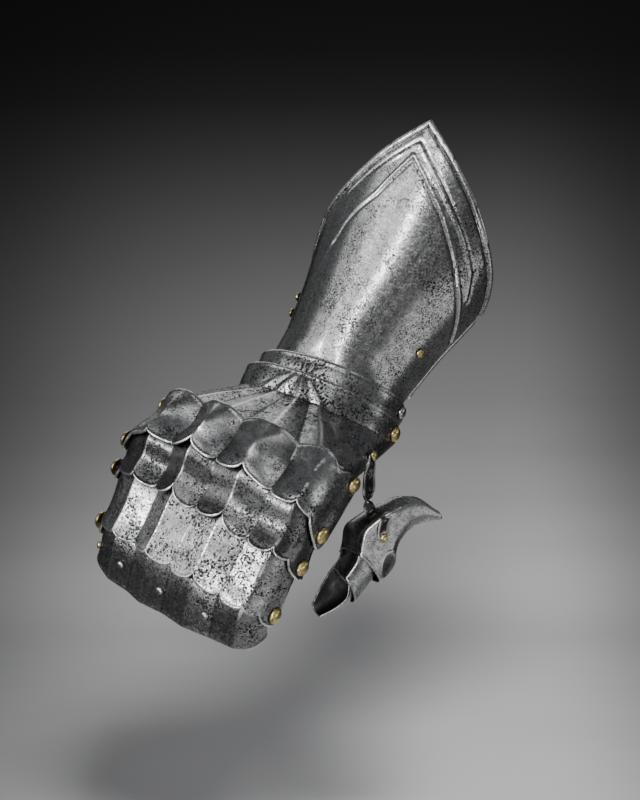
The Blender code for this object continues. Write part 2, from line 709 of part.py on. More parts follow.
def main():
    """Build the whole gauntlet."""
    clear_scene()
    plate_steel = steel("plate_steel", (0.42, 0.41, 0.40), 0.32)
    dark_steel = steel("hinge_steel", (0.16, 0.15, 0.15), 0.45)
    brass = steel("rivet_brass", (0.72, 0.56, 0.26), 0.30)

    attitude = (Matrix.Rotation(math.radians(-LEAN_BACK), 3, "X")
                @ Matrix.Rotation(math.radians(LEAN_SIDEWAYS), 3, "Y")
                @ Matrix.Rotation(math.radians(-TURN_ABOUT_FOREARM), 3, "Z"))
    mouth = attitude @ Vector((0.0, 0.0, CUFF_MOUTH_Z))
    frame = add_empty("forearm_frame", -mouth, attitude)
    thumb_frame = add_empty("thumb_frame", attitude @ Vector(THUMB_HINGE) - mouth, Matrix.Identity(3))

    cutters = {}
    for hinge, label in ((WRIST, "wrist"), (HEEL, "heel"), (KNUCKLE, "knuckle"),
                         (FINGER_1, "finger_1"), (FINGER_2, "finger_2"), (FINGER_3, "finger_3")):
        cutters[hinge] = add_hole_cutter(f"{label}_hole_cutter", hinge, frame)

    cuff = add_cuff(frame, plate_steel)
    bore(cuff, [cutters[WRIST]])
    for name, stations, hinge, holes, scallop in HAND_PLATES:
        plate = add_plate(name, stations, hinge, frame, plate_steel, scallop)
        bore(plate, [cutters[hole] for hole in holes])
    for name, hinge, inner_wall, head, metal in PIVOTS:
        rivet_metal = brass if metal == "brass" else plate_steel
        add_pivot_rivets(name, hinge, inner_wall, head, frame, rivet_metal)
    add_inner_plate(frame, plate_steel, brass)
    add_thumb(thumb_frame, frame, plate_steel, brass, attitude.transposed())
    for index, place in enumerate(FINGERTIP_RIVETS):
        add_stud(f"fingertip_rivet_{index + 1}",
                 lambda across, along: plate_point(FINGERTIP, across, along), place,
                 Vector((0.0, -200.0, -150.0)), SMALL_HEAD_R, frame,
                 brass if index == 0 else plate_steel)
    bpy.context.view_layer.update()


main()
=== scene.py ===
"""The looks of the mitten gauntlet: detailed steel plates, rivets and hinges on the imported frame.

Plates are drawn in the forearm frame in millimetres (+X thumb, +Y palm, +Z elbow, origin between the
wrist pivots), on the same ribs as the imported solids. Fluting, bosses, scalloped rims and rolled
edges are added along the normal. place() turns the forearm frame into the row frame in metres.
"""

import json
import math
from collections import namedtuple
from functools import reduce

import bpy
import numpy as np
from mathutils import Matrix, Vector

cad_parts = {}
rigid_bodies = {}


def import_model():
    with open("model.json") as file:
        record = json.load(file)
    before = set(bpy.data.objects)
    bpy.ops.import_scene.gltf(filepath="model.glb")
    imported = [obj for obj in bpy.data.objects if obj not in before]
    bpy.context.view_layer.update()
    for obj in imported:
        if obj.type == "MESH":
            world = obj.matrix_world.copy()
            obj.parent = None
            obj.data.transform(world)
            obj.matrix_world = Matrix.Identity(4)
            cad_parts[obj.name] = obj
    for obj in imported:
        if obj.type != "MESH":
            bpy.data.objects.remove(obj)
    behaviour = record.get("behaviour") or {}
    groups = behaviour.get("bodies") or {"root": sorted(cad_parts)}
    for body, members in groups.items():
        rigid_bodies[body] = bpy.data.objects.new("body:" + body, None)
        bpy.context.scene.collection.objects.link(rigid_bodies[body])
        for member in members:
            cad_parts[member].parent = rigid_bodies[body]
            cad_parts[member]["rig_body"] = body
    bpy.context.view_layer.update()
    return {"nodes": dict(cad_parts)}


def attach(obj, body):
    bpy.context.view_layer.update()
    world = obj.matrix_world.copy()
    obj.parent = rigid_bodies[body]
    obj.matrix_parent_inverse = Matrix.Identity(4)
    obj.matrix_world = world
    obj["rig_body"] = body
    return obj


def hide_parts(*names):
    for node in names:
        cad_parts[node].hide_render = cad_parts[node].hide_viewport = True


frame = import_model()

# ---- sizes shared with the frame, in mm

LEAN_SIDEWAYS = 30.0
LEAN_BACK = 13.0
TURN_ABOUT_FOREARM = 24.0
CUFF_MOUTH_Z = 69.0

WALL = 1.3
LAYER = 2.4
FIT_GAP = 0.3
LOBE_PLACES = np.array((0.0, 0.26, 0.52, 0.78))

Hinge = namedtuple("Hinge", "y z half_width depth tilt little thumb")
Side = namedtuple("Side", "power lap")
Rib = namedtuple("Rib", "hinge layer slope offset ridge")

WRIST = Hinge(0.0, -7.9, 39.1, 39.1, 11.0, Side(2.0, 6.5), Side(2.0, 6.5))
HEEL = Hinge(-1.0, -18.7, 42.2, 42.2, 9.0, Side(2.0, 6.5), Side(2.0, 6.5))
KNUCKLE = Hinge(-43.0, -53.4, 56.5, 27.0, 5.0, Side(2.0, 6.5), Side(2.6, 8.0))
FINGER_1 = Hinge(-53.4, -81.6, 60.0, 23.2, 2.0, Side(2.0, 5.5), Side(3.4, 10.5))
FINGER_2 = Hinge(-50.7, -98.7, 58.0, 17.5, 0.0, Side(2.0, 6.5), Side(3.6, 10.0))
FINGER_3 = Hinge(-43.1, -126.4, 54.5, 17.5, 0.0, Side(2.0, 6.5), Side(3.2, 9.0))
FINGER_END = Hinge(-33.0, -142.0, 53.5, 15.5, 0.0, Side(2.0, 6.0), Side(3.0, 7.0))

# Ridge is a rib's height in mm at a ridge value of 1. The hand back's flutes come in mm already, so its
# ridges are 1 here: that one column isn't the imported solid's.
WRIST_BAND = (
    Rib(WRIST, LAYER, 4.0, -5.5, 0.0),
    Rib(WRIST, LAYER, 0.0, 2.6, 0.0),
    Rib(HEEL, 0.0, 4.0, -2.6, 0.0),
    Rib(HEEL, 0.0, -3.0, 5.5, 0.0),
)
HAND_BACK = (
    Rib(HEEL, LAYER, 4.0, -6.2, 1.0),
    Rib(HEEL, LAYER, -1.0, 4.0, 1.0),
    Rib(KNUCKLE, 0.0, 1.0, -5.0, 1.0),
    Rib(KNUCKLE, 0.0, -2.0, 3.8, 1.0),
)
KNUCKLE_PLATE = (
    Rib(KNUCKLE, LAYER, 4.0, -5.5, 4.5),
    Rib(KNUCKLE, LAYER, -3.0, 4.0, 7.0),
    Rib(FINGER_1, LAYER, 20.0, -5.0, 8.0),
    Rib(FINGER_1, LAYER, 27.0, 5.0, 5.5),
)
FINGER_LAME_1 = (
    Rib(FINGER_1, 0.0, 32.0, -4.0, 5.0),
    Rib(FINGER_1, 0.0, 24.0, 4.5, 5.0),
    Rib(FINGER_2, LAYER, 17.0, -4.5, 5.0),
    Rib(FINGER_2, LAYER, 8.0, 5.75, 4.5),
)
FINGER_LAME_2 = (
    Rib(FINGER_2, 0.0, 34.0, -4.0, 4.5),
    Rib(FINGER_2, 0.0, 8.0, 5.0, 4.5),
    Rib(FINGER_3, LAYER, 2.0, -4.5, 4.0),
    Rib(FINGER_3, LAYER, -6.0, 6.0, 4.0),
)
FINGERTIP = (
    Rib(FINGER_3, 0.0, 26.0, -4.0, 4.0),
    Rib(FINGER_3, 0.0, -8.0, 5.5, 3.6),
    Rib(FINGER_END, 0.0, -48.0, 0.0, 2.5),
)

# Cuff: pointed rim (angle round the forearm, height) and rings (height, half width, depth).
CUFF_RIM = np.array((
    (-100.0, 38.0), (-80.0, 50.0), (-60.0, 73.0), (-40.0, 92.0), (-20.0, 115.0), (0.0, 137.0),
    (20.0, 126.0), (40.0, 113.5), (60.0, 99.0), (80.0, 85.0), (100.0, 69.0),
))
CUFF_RINGS = np.array((
    (-20.0, 37.0, 36.8), (8.0, 36.9, 36.8), (20.0, 38.6, 38.6), (34.0, 40.9, 40.6),
    (50.0, 44.9, 42.8), (65.0, 48.4, 45.2), (80.0, 51.0, 47.6), (110.0, 53.5, 52.4),
    (137.0, 54.0, 57.0),
))
CUFF_LOW_MIDDLE_Z = -13.0
CUFF_LOW_SLANT = 0.19

# ---- frame of the forearm

UPWARD = np.array((0.0, 0.0, 1.0))


def turn_matrix(axis, degrees):
    """Rotation matrix about X, Y or Z."""
    c = math.cos(math.radians(degrees))
    s = math.sin(math.radians(degrees))
    rows = {
        "X": ((1, 0, 0), (0, c, -s), (0, s, c)),
        "Y": ((c, 0, s), (0, 1, 0), (-s, 0, c)),
        "Z": ((c, -s, 0), (s, c, 0), (0, 0, 1)),
    }
    return np.array(rows[axis], float)


ATTITUDE = (turn_matrix("X", -LEAN_BACK) @ turn_matrix("Y", LEAN_SIDEWAYS)
            @ turn_matrix("Z", -TURN_ABOUT_FOREARM))
MOUTH = ATTITUDE @ np.array((0.0, 0.0, CUFF_MOUTH_Z))


def place(points):
    """Points of the forearm frame, in mm, as points of the row frame, in metres."""
    return (np.asarray(points) @ ATTITUDE.T - MOUTH) * 0.001


# ---- surfaces of the hand plates


def arch_angle(power, lap, across):
    """Angle in a rib's superellipse for places across the back counted in lobes, -4 to 4."""
    place_part = np.abs(across)
    last = len(LOBE_PLACES) - 1
    angles = np.arcsin(LOBE_PLACES ** (power / 2.0))
    lap_angle = np.arccos(-(lap ** (power / 2.0)))
    inner = np.interp(place_part, np.arange(last + 1), angles)
    outer = angles[last] + (lap_angle - angles[last]) * (place_part - last)
    return np.where(place_part >= last, outer, inner)


def hinge_turn(hinge):
    """Rotation of a hinge's axis from the sideways direction of the hand."""
    return turn_matrix("Y", -hinge.tilt)


def arch_side(rib, across, side):
    """Rise and width of a rib's slice on one side of the hand."""
    hinge = rib.hinge
    depth = hinge.depth + rib.layer
    reach = np.sqrt(depth ** 2 - rib.offset ** 2)
    turn = arch_angle(side.power, side.lap / reach, across)
    cosine = np.cos(turn)
    rise = reach * np.copysign(np.abs(cosine) ** (2.0 / side.power), cosine)
    spread = np.minimum(1.0, np.hypot(rise, rib.offset) / depth)
    width = (hinge.half_width + rib.layer) * (1.0 - spread ** side.power) ** (1.0 / side.power)
    return rise, width


def arch_points(rib, across, ridge):
    """Points of a rib: a plane slice of the surface of revolution about the rib's hinge."""
    rise_l, width_l = arch_side(rib, across, rib.hinge.little)
    rise_t, width_t = arch_side(rib, across, rib.hinge.thumb)
    rise = np.where(across > 0.0, rise_t, rise_l) + rib.ridge * ridge
    width = np.where(across > 0.0, width_t, width_l)
    tip = np.radians(rib.slope) * np.ones_like(rise)
    x = np.copysign(width, across)
    y = -np.cos(tip) * rise - np.sin(tip) * rib.offset
    z = np.sin(tip) * rise - np.cos(tip) * rib.offset
    centre = np.array((0.0, rib.hinge.y, rib.hinge.z))
    return centre + np.stack((x, y, z), -1) @ hinge_turn(rib.hinge).T


def plate_points(stations, across, along, ridge):
    """Points of a plate; along counts the ribs from its hidden upper edge."""
    across = np.asarray(across, float)
    along = np.broadcast_to(along, across.shape)
    out = np.zeros(across.shape + (3,))
    last = len(stations) - 2
    span = np.clip(np.floor(along), 0, last).astype(int)
    for index in range(last + 1):
        pick = span == index
        if not pick.any():
            continue
        low = stations[index]
        high = stations[index + 1]
        part = along[pick] - index
        if low[:2] == high[:2]:
            values = [a + (b - a) * part for a, b in zip(low[2:], high[2:])]
            rib = Rib(low.hinge, low.layer, *values)
            out[pick] = arch_points(rib, across[pick], ridge[pick])
        else:
            a = arch_points(low, across[pick], ridge[pick])
            b = arch_points(high, across[pick], ridge[pick])
            out[pick] = a + (b - a) * part[..., None]
    return out


# ---- cuff surface


def cuff_ring(z):
    """Half width and depth of the cuff at a height, smoothly between the rings of its table."""
    z = np.asarray(z, float)
    heights = CUFF_RINGS[:, 0]
    last = len(heights) - 2
    index = np.clip(np.searchsorted(heights, z, side="left") - 1, 0, last)
    before = np.maximum(index - 1, 0)
    after = np.minimum(index + 2, last + 1)
    step = heights[index + 1] - heights[index]
    part = (z - heights[index]) / step
    values = []
    for column in (1, 2):
        table = CUFF_RINGS[:, column]
        rise_low = (table[index + 1] - table[before]) / (heights[index + 1] - heights[before]) * step
        rise_high = (table[after] - table[index]) / (heights[after] - heights[index]) * step
        gain = table[index + 1] - table[index]
        cubic = rise_low + rise_high - 2.0 * gain
        square = 3.0 * gain - 2.0 * rise_low - rise_high
        values.append(table[index] + part * (rise_low + part * (square + part * cubic)))
    return values


def cuff_points(angle, z, lift=0.0):
    """Points of the cuff's outer face; angle in degrees from the back towards the thumb."""
    turn = np.radians(angle)
    half_width, depth = cuff_ring(z)
    x = (half_width + lift) * np.sin(turn)
    y = -(depth + lift) * np.cos(turn)
    return np.stack((x, y, np.broadcast_to(z, x.shape)), -1)


# ---- small shape helpers


def smooth(low, high, value):
    """0 at low, 1 at high, and a smooth step between; low may be the larger."""
    t = np.clip((value - low) / (high - low), 0.0, 1.0)
    return t * t * (3.0 - 2.0 * t)


def bump(value, width):
    """A smooth hump of height 1 round 0."""
    return np.exp(-(value / width) ** 2)


def unit(v):
    """Vectors scaled to length 1."""
    return v / np.maximum(np.linalg.norm(v, axis=-1, keepdims=True), 1e-9)


def most(*values):
    """The largest of several values at each point."""
    return reduce(np.maximum, values)


def runs(*stretches):
    """Places in stretches of (start, end, count) that follow each other."""
    parts = [np.linspace(*stretch)[:-1] for stretch in stretches]
    return np.concatenate(parts + [[stretches[-1][1]]])


def grid_normals(grid, inside):
    """Unit normals of a grid of points, facing away from the inside points."""
    normal = unit(np.cross(np.gradient(grid, axis=1), np.gradient(grid, axis=0)))
    away = np.sum(normal * (grid - inside), -1, keepdims=True)
    return np.where(away < 0.0, -normal, normal)


def path_length(grid, axis):
    """Length along the lines of a grid from its first row or column."""
    step = np.linalg.norm(np.diff(grid, axis=axis), axis=-1)
    zero = np.zeros_like(np.take(step, [0], axis=axis))
    return np.concatenate((zero, np.cumsum(step, axis=axis)), axis=axis)


def rim_distance(grid):
    """Distance of each point of a grid to the nearest of its four edges, in mm."""
    down = path_length(grid, 0)
    side = path_length(grid, 1)
    return np.minimum.reduce((down, down[-1:] - down, side, side[:, -1:] - side))


def raised(grid, inside, height):
    """A grid of points moved outward by heights in mm."""
    return grid + grid_normals(grid, inside) * height[..., None]


# ---- meshes


def add_object(name, data):
    """A new object in the scene."""
    item = bpy.data.objects.new(name, data)
    bpy.context.scene.collection.objects.link(item)
    return item


def new_object(name, verts, faces, material, smooth_angle=50.0, values=None):
    """A mesh object from points in the row frame, with float attributes on its points."""
    mesh = bpy.data.meshes.new(name)
    mesh.from_pydata(verts.tolist(), [], faces)
    mesh.validate()
    mesh.shade_smooth()
    mesh.set_sharp_from_angle(angle=math.radians(smooth_angle))
    for label, data in (values or {}).items():
        layer = mesh.attributes.new(label, "FLOAT", "POINT")
        layer.data.foreach_set("value", np.asarray(data, np.float32).ravel())
    mesh.materials.append(material)
    return add_object(name, mesh)


def ring_of(rows, columns):
    """Row and column of each point round the edge of a grid, in order."""
    top = [(0, c) for c in range(columns - 1)]
    right = [(r, columns - 1) for r in range(rows - 1)]
    bottom = [(rows - 1, c) for c in range(columns - 1, 0, -1)]
    left = [(r, 0) for r in range(rows - 1, 0, -1)]
    return np.array(top + right + bottom + left)


EDGE_STEPS = 3
EDGE_LINING = 0.7


def shell(name, grid, inside, material, rim, shade_and_marks, wall=WALL):
    """A wall with rounded edges whose outer face is a grid of forearm points."""
    rows, columns = grid.shape[:2]
    normal = grid_normals(grid, inside)
    inner = grid - normal * wall
    ring = ring_of(rows, columns)
    at = (ring[:, 0], ring[:, 1])
    outward = np.zeros((len(ring), 3))
    for edge, step in ((ring[:, 0] == 0, (1, 0)), (ring[:, 0] == rows - 1, (-1, 0)),
                       (ring[:, 1] == 0, (0, 1)), (ring[:, 1] == columns - 1, (0, -1))):
        r = ring[edge]
        outward[edge] += unit(grid[r[:, 0], r[:, 1]] - grid[r[:, 0] + step[0], r[:, 1] + step[1]])
    outward = unit(outward)
    middle = (grid[at] + inner[at]) / 2.0
    loops = []
    for step in range(1, EDGE_STEPS + 1):
        turn = math.pi * step / (EDGE_STEPS + 1)
        loops.append(middle + (normal[at] * math.cos(turn) + outward * math.sin(turn)) * wall / 2.0)
    count = rows * columns
    points = np.concatenate([grid.reshape(-1, 3), inner.reshape(-1, 3)] + loops)
    index = np.arange(count).reshape(rows, columns)
    quads = np.stack((index[:-1, :-1], index[:-1, 1:], index[1:, 1:], index[1:, :-1]), -1)
    faces = quads.reshape(-1, 4).tolist() + (quads[..., ::-1] + count).reshape(-1, 4).tolist()
    chain = [index[at]]
    chain += [count * 2 + len(ring) * k + np.arange(len(ring)) for k in range(EDGE_STEPS)]
    chain.append(index[at] + count)
    for a, b in zip(chain, chain[1:]):
        faces += np.stack((a, b, np.roll(b, -1), np.roll(a, -1)), -1).tolist()
    corner = points[quads[rows // 2, columns // 2]]
    facing = np.cross(corner[1] - corner[0], corner[2] - corner[0])
    if facing @ normal[rows // 2, columns // 2] < 0.0:
        faces = [face[::-1] for face in faces]
    lining = [np.full(len(ring), EDGE_LINING * k / EDGE_STEPS) for k in range(EDGE_STEPS)]
    values = {"inner": np.concatenate([np.zeros(count), np.ones(count)] + lining)}
    for label, value in (("rim", rim), ("shade_and_marks", shade_and_marks)):
        value = np.broadcast_to(value, (rows, columns))
        values[label] = np.concatenate([value.ravel(), np.zeros(count)] + [value[at]] * EDGE_STEPS)
    return new_object(name, place(points), faces, material, values=values)


# ---- materials


class Nodes:
    """Short calls that add linked shader nodes to a material."""

    def __init__(self, name):
        self.material = bpy.data.materials.new(name)
        self.material.use_nodes = True
        self.tree = self.material.node_tree
        self.coords = self.add("TexCoord", {}, "Object")

    def link(self, value, socket):
        """Link a node's output to a socket, or set the socket to a plain value."""
        if isinstance(value, bpy.types.NodeSocket):
            self.tree.links.new(value, socket)
        else:
            socket.default_value = value

    def add(self, kind, inputs, output=0, **settings):
        """Add a node with its settings and inputs, and give back one of its outputs."""
        node = self.tree.nodes.new("ShaderNode" + kind)
        for label, value in settings.items():
            setattr(node, label, value)
        for label, value in inputs.items():
            self.link(value, node.inputs[label])
        return node.outputs[output]

    def finish(self, inputs):
        """Set inputs of the surface shader, and give back the material."""
        for label, value in inputs.items():
            self.link(value, self.tree.nodes["Principled BSDF"].inputs[label])
        return self.material

    def noise(self, scale, detail=2.0, roughness=0.5, distortion=0.0, coords=None, output="Fac"):
        inputs = {"Vector": coords or self.coords, "Scale": scale, "Detail": detail,
                  "Roughness": roughness, "Distortion": distortion}
        return self.add("TexNoise", inputs, output)

    def stretched(self, scale, turn):
        return self.add("Mapping", {"Vector": self.coords, "Scale": scale, "Rotation": turn})

    def ragged(self, amount, scale):
        """Coordinates shifted a little by noise, so that round spots turn ragged."""
        inputs = {0: self.noise(scale, output="Color"), 1: (amount,) * 3, 2: self.coords}
        return self.add("VectorMath", inputs, operation="MULTIPLY_ADD")

    def cells(self, scale, coords):
        """Distance to the nearest of many scattered points."""
        return self.add("TexVoronoi", {"Vector": coords, "Scale": scale}, "Distance")

    def steps(self, value, low, high, out_low=0.0, out_high=1.0):
        """A smooth step between two values."""
        inputs = {"Value": value, "From Min": low, "From Max": high, "To Min": out_low,
                  "To Max": out_high}
        return self.add("MapRange", inputs, interpolation_type="SMOOTHSTEP")

    def math(self, operation, a, b=0.0, clamp=False):
        return self.add("Math", {0: a, 1: b}, operation=operation, use_clamp=clamp)

    def mix(self, part, a, b):
        """A colour between two, which may be plain red, green and blue values."""
        ends = [end if isinstance(end, bpy.types.NodeSocket) else (*end, 1.0) for end in (a, b)]
        return self.add("Mix", {0: part, 6: ends[0], 7: ends[1]}, 2, data_type="RGBA")

    def attribute(self, name):
        return self.add("Attribute", {}, "Fac", attribute_name=name)

    def bump(self, height, strength, distance, **more):
        return self.add("Bump", {"Height": height, "Strength": strength, "Distance": distance, **more})


def pitted_steel(name, bright=0.50, pitting=1.0, roughness=0.21, smudge=0.70, lining=0.80,
                 patches=0.15, grain=1.0):
    """Old polished steel: grey patina, clustered black pits, fine scratches, a painted highlight on
    edges and painted shade.
    """
    m = Nodes(name)

    def times(a, b, clamp=False):
        return m.math("MULTIPLY", a, b, clamp)

    crowd = m.math("ADD", times(m.noise(95.0, 4.0, 0.66), 0.55),
                   times(m.noise(16.0, 3.0, 0.55, 0.4), 0.45))
    crowd = times(m.steps(crowd, 0.51 - patches, 0.51 + patches), pitting)
    coarse_edge = m.steps(crowd, 0.0, 1.0, 0.67, 0.575)
    fine_edge = m.steps(crowd, 0.0, 1.0, 0.60, 0.53)
    dot_edge = m.steps(crowd, 0.0, 1.0, 0.16, 0.46)
    coarse_pits = m.steps(m.noise(780.0 * grain, 3.0, 0.66), coarse_edge,
                          m.math("ADD", coarse_edge, 0.025))
    fine_pits = m.steps(m.noise(1600.0 * grain, 2.0, 0.60), fine_edge, m.math("ADD", fine_edge, 0.05))
    dot_pits = m.steps(m.cells(640.0 * grain, m.ragged(0.0006, 1500.0)), dot_edge,
                       m.math("SUBTRACT", dot_edge, 0.07))
    pits = m.math("MAXIMUM", times(fine_pits, 0.85), m.math("MAXIMUM", coarse_pits, dot_pits))
    # The rim attribute is a painted highlight along edges and ridge lines, broken up by noise; pits
    # thin out under it.
    rim = times(m.attribute("rim"), m.steps(m.noise(260.0, 3.0, 0.6), 0.30, 0.52, 0.40, 1.0))
    inner = times(m.attribute("inner"), lining)
    pits = times(pits, m.math("SUBTRACT", 1.0, times(rim, 0.7)), clamp=True)
    patina = m.steps(m.noise(330.0, 5.0, 0.72), 0.36, 0.64)
    stain = times(m.steps(m.noise(300.0, 4.0, 0.70), 0.46, 0.60), crowd)
    colour = m.mix(patina, (bright * 0.66, bright * 0.67, bright * 0.69),
                   (bright, bright * 0.998, bright * 0.99))
    colour = m.mix(times(stain, smudge), colour, (bright * 0.14, bright * 0.145, bright * 0.155))
    # Painted shade in creases and under overlapping plates with a few dark marks, and the dark patina
    # of the inner faces.
    colour = m.mix(m.math("MAXIMUM", m.attribute("shade_and_marks"), inner), colour, (0.020, 0.020, 0.021))
    # The painted highlight.
    colour = m.mix(rim, colour, (0.86, 0.855, 0.84))
    colour = m.mix(pits, colour, (0.010, 0.010, 0.011))
    scratch = m.noise(900.0, 2.0, 0.5, coords=m.stretched((1.0, 0.12, 1.0), (0.4, 0.3, 0.9)))
    rough = m.steps(patina, 0.0, 1.0, roughness + 0.10, roughness - 0.03)
    for more in (times(pits, 0.3), times(inner, 0.25), m.steps(scratch, 0.4, 0.7, -0.02, 0.05)):
        rough = m.math("ADD", rough, more)
    dents = m.bump(m.math("SUBTRACT", times(m.noise(330.0, 3.0, 0.55), 0.12), pits), 0.22, 0.00020)
    return m.finish({
        "Base Color": colour,
        "Metallic": m.math("SUBTRACT", 1.0, times(pits, 0.3)),
        "Roughness": rough,
        "Normal": m.bump(m.noise(75.0, 2.0, 0.5), 0.06, 0.0014, Normal=dents),
    })


def worn_brass(name):
    """Brass of the rivet heads: gold where rubbed, brown in patches, and a painted shade where the head
    meets the plate.
    """
    m = Nodes(name)
    patina = m.steps(m.noise(700.0, 4.0, 0.6), 0.36, 0.66)
    colour = m.mix(patina, (0.34, 0.27, 0.09), (0.95, 0.80, 0.38))
    colour = m.mix(m.steps(m.noise(1500.0, 3.0, 0.6), 0.60, 0.68), colour, (0.05, 0.04, 0.02))
    # Painted shade where the head meets the plate.
    colour = m.mix(m.attribute("shade_and_marks"), colour, (0.05, 0.045, 0.03))
    return m.finish({"Base Color": colour, "Metallic": 1.0,
                     "Roughness": m.steps(patina, 0.0, 1.0, 0.42, 0.22),
                     "Normal": m.bump(m.noise(600.0, 3.0, 0.6), 0.25, 0.0003)})


def blackened_iron(name):
    """Rough dark iron of the hinge leaves, worn bright in random patches, with a painted highlight
    along its edges.
    """
    m = Nodes(name)
    brightening = m.math("MULTIPLY", m.steps(m.noise(260.0, 5.0, 0.7), 0.5, 0.66), 0.5)
    # The rim attribute adds a painted highlight along the edges.
    brightening = m.math("MAXIMUM", brightening, m.attribute("rim"))
    return m.finish({"Base Color": m.mix(brightening, (0.030, 0.029, 0.028), (0.52, 0.51, 0.49)),
                     "Metallic": 1.0, "Roughness": m.steps(brightening, 0.0, 1.0, 0.55, 0.28),
                     "Normal": m.bump(m.noise(420.0, 4.0, 0.65), 0.6, 0.0006)})


STEEL = pitted_steel("pitted_steel", bright=0.54, pitting=1.10)
CUFF_STEEL = pitted_steel("cuff_steel", bright=0.58, pitting=1.05, roughness=0.19, smudge=0.5,
                          patches=0.26, grain=1.25)
THUMB_STEEL = pitted_steel("thumb_steel", bright=0.50, pitting=0.30, roughness=0.20, lining=0.97)
RIVET_STEEL = pitted_steel("rivet_steel", bright=0.6, pitting=0.4, roughness=0.22)
BRASS = worn_brass("rivet_brass")
IRON = blackened_iron("hinge_iron")

# ---- hand plates

# Where the valleys and ridges of the fingers lie across the back, for nominal lobes -4 to 4.
LOBE_NOMINAL = np.arange(-4.0, 5.0)
RIDGES = (-3.0, -1.0, 1.0, 3.0)
VALLEYS = (-2.0, 0.0, 2.0)
LOBE_ACROSS = np.array((-4.0, -2.68, -1.72, -1.0, 0.0, 1.08, 2.18, 3.12, 4.0))


def lobe_of(across):
    """Nominal lobe of a place across the back: odd numbers are ridges, even ones valleys."""
    return np.interp(across, LOBE_ACROSS, LOBE_NOMINAL)


def across_of(lobe):
    """Place across the back of a nominal lobe."""
    return np.interp(lobe, LOBE_NOMINAL, LOBE_ACROSS)


def nearest(lobe, places):
    """Distance in lobes to the nearest of some places."""
    return np.abs(lobe[..., None] - places).min(-1)


def ridge_height(lobe):
    """1 on the middle line of each finger and 0 in the valleys between them and at the edges."""
    place_part = np.abs(lobe)
    outer = np.clip(1.0 - (place_part - 3.0) / 0.62, 0.0, 1.0)
    return np.where(place_part > 3.0, outer, 1.0 - np.abs(place_part % 2.0 - 1.0))


LOBE_STEPS = 14
LAP_STEPS = 16


def plate_columns():
    """Places across the back, in nominal lobes, closer together at the creases and at the laps."""
    part = np.arange(LOBE_STEPS) / LOBE_STEPS
    part = part - 0.13 * np.sin(2.0 * math.pi * part) / 2.0
    lap = np.arange(LAP_STEPS) / LAP_STEPS
    return np.concatenate([-4.0 + lap] + [lobe + part for lobe in range(-3, 3)] + [3.0 + lap, [4.0]])


COLUMNS = plate_columns()
INSIDE = np.array((0.0, -8.0, -85.0))
PETAL_START = -3.42
PETAL_END = 3.34


def petal_rim(lobe, cusps, bottoms, tab):
    """How far along the ribs a scalloped rim lies: petals between cusps, and round rivet tabs."""
    edges = np.concatenate(([PETAL_START], np.arange(-3.0, 4.0), [PETAL_END]))
    heights = np.concatenate(([cusps[0]], cusps, [cusps[-1]]))
    index = np.clip(np.searchsorted(edges, lobe, side="right") - 1, 0, len(edges) - 2)
    part = np.clip((lobe - edges[index]) / (edges[index + 1] - edges[index]), 0.0, 1.0)
    low = heights[index] + (heights[index + 1] - heights[index]) * part
    depth = np.array(bottoms)[index] - (heights[index] + heights[index + 1]) / 2.0
    petal = low + depth * (1.0 - np.abs(2.0 * part - 1.0) ** 2.5) ** 0.62
    outside = np.where(lobe < 0.0, (PETAL_START - lobe) / (PETAL_START + 4.0),
                       (lobe - PETAL_END) / (4.0 - PETAL_END))
    round_tab = np.sqrt(np.clip(1.0 - (2.0 * np.clip(outside, 0.0, 1.0) - 1.0) ** 2, 0.0, 1.0))
    tab_end = np.where(lobe < 0.0, cusps[0], cusps[-1]) - np.where(outside > 0.5, 0.55, 0.25)
    return np.where(outside > 0.0, tab_end + (tab - tab_end) * round_tab, petal)


def corner_drop(lobe, start=3.5):
    """0 over the back of the hand, and a quarter round up to 1 at the ends of the laps."""
    part = np.clip((np.abs(lobe) - start) / (4.0 - start), 0.0, 1.0)
    return 1.0 - np.sqrt(1.0 - part ** 2)


def painted_edge_highlight(grid):
    """Painted highlight along the edges of a plate."""
    return bump(rim_distance(grid), 0.55)


def hand_plate(stations, start, end, ridge_of, rows):
    """A plate of the hand: its grid of points, and where each lies in lobes and along the ribs."""
    part = np.linspace(0.0, 1.0, rows + 1)
    part = part - 0.05 * np.sin(2.0 * math.pi * part)
    lobe = np.broadcast_to(COLUMNS, (rows + 1, len(COLUMNS)))
    along = start + (end - start) * part[:, None]
    return ruled_plate(stations, across_of(lobe), lobe, along, ridge_of), lobe, along


BLEND_OFFSETS = np.linspace(-0.9, 0.9, 9)
BLEND_WEIGHTS = (1.0 - BLEND_OFFSETS ** 2) ** 2
BLEND_WEIGHTS /= BLEND_WEIGHTS.sum()
BEND_SPREAD = 0.8
THUMB_BEND_SPREAD = 0.45


def softened(surface, along, last, spread):
    """Points of a surface averaged along the fingers, so that its bends are round."""
    total = 0.0
    first_row = surface(np.zeros_like(along))
    last_row = surface(np.full_like(along, last))
    for offset, weight in zip(BLEND_OFFSETS, BLEND_WEIGHTS):
        at = along + offset * spread
        points = surface(np.where(at < 0.0, -at, np.where(at > last, 2.0 * last - at, at)))
        points = np.where((at < 0.0)[..., None], 2.0 * first_row - points, points)
        points = np.where((at > last)[..., None], 2.0 * last_row - points, points)
        total = total + weight * points
    return total


def ruled_points(stations, across, lobe, along, ridge_of):
    """Plate points ruled from crease to crease, with a ridge height given as a function."""
    low = np.clip(np.floor(lobe), -3, 2)
    part = np.clip(lobe - low, 0.0, 1.0)
    full = plate_points(stations, across, along, ridge_of(lobe, along))
    plain, a, b = (plate_points(stations, places, along, np.zeros_like(lobe))
                   for places in (across, across_of(low), across_of(low + 1)))
    ruled = full + (a + (b - a) * part[..., None] - plain)
    return np.where((np.abs(lobe) < 3.0)[..., None], ruled, full)


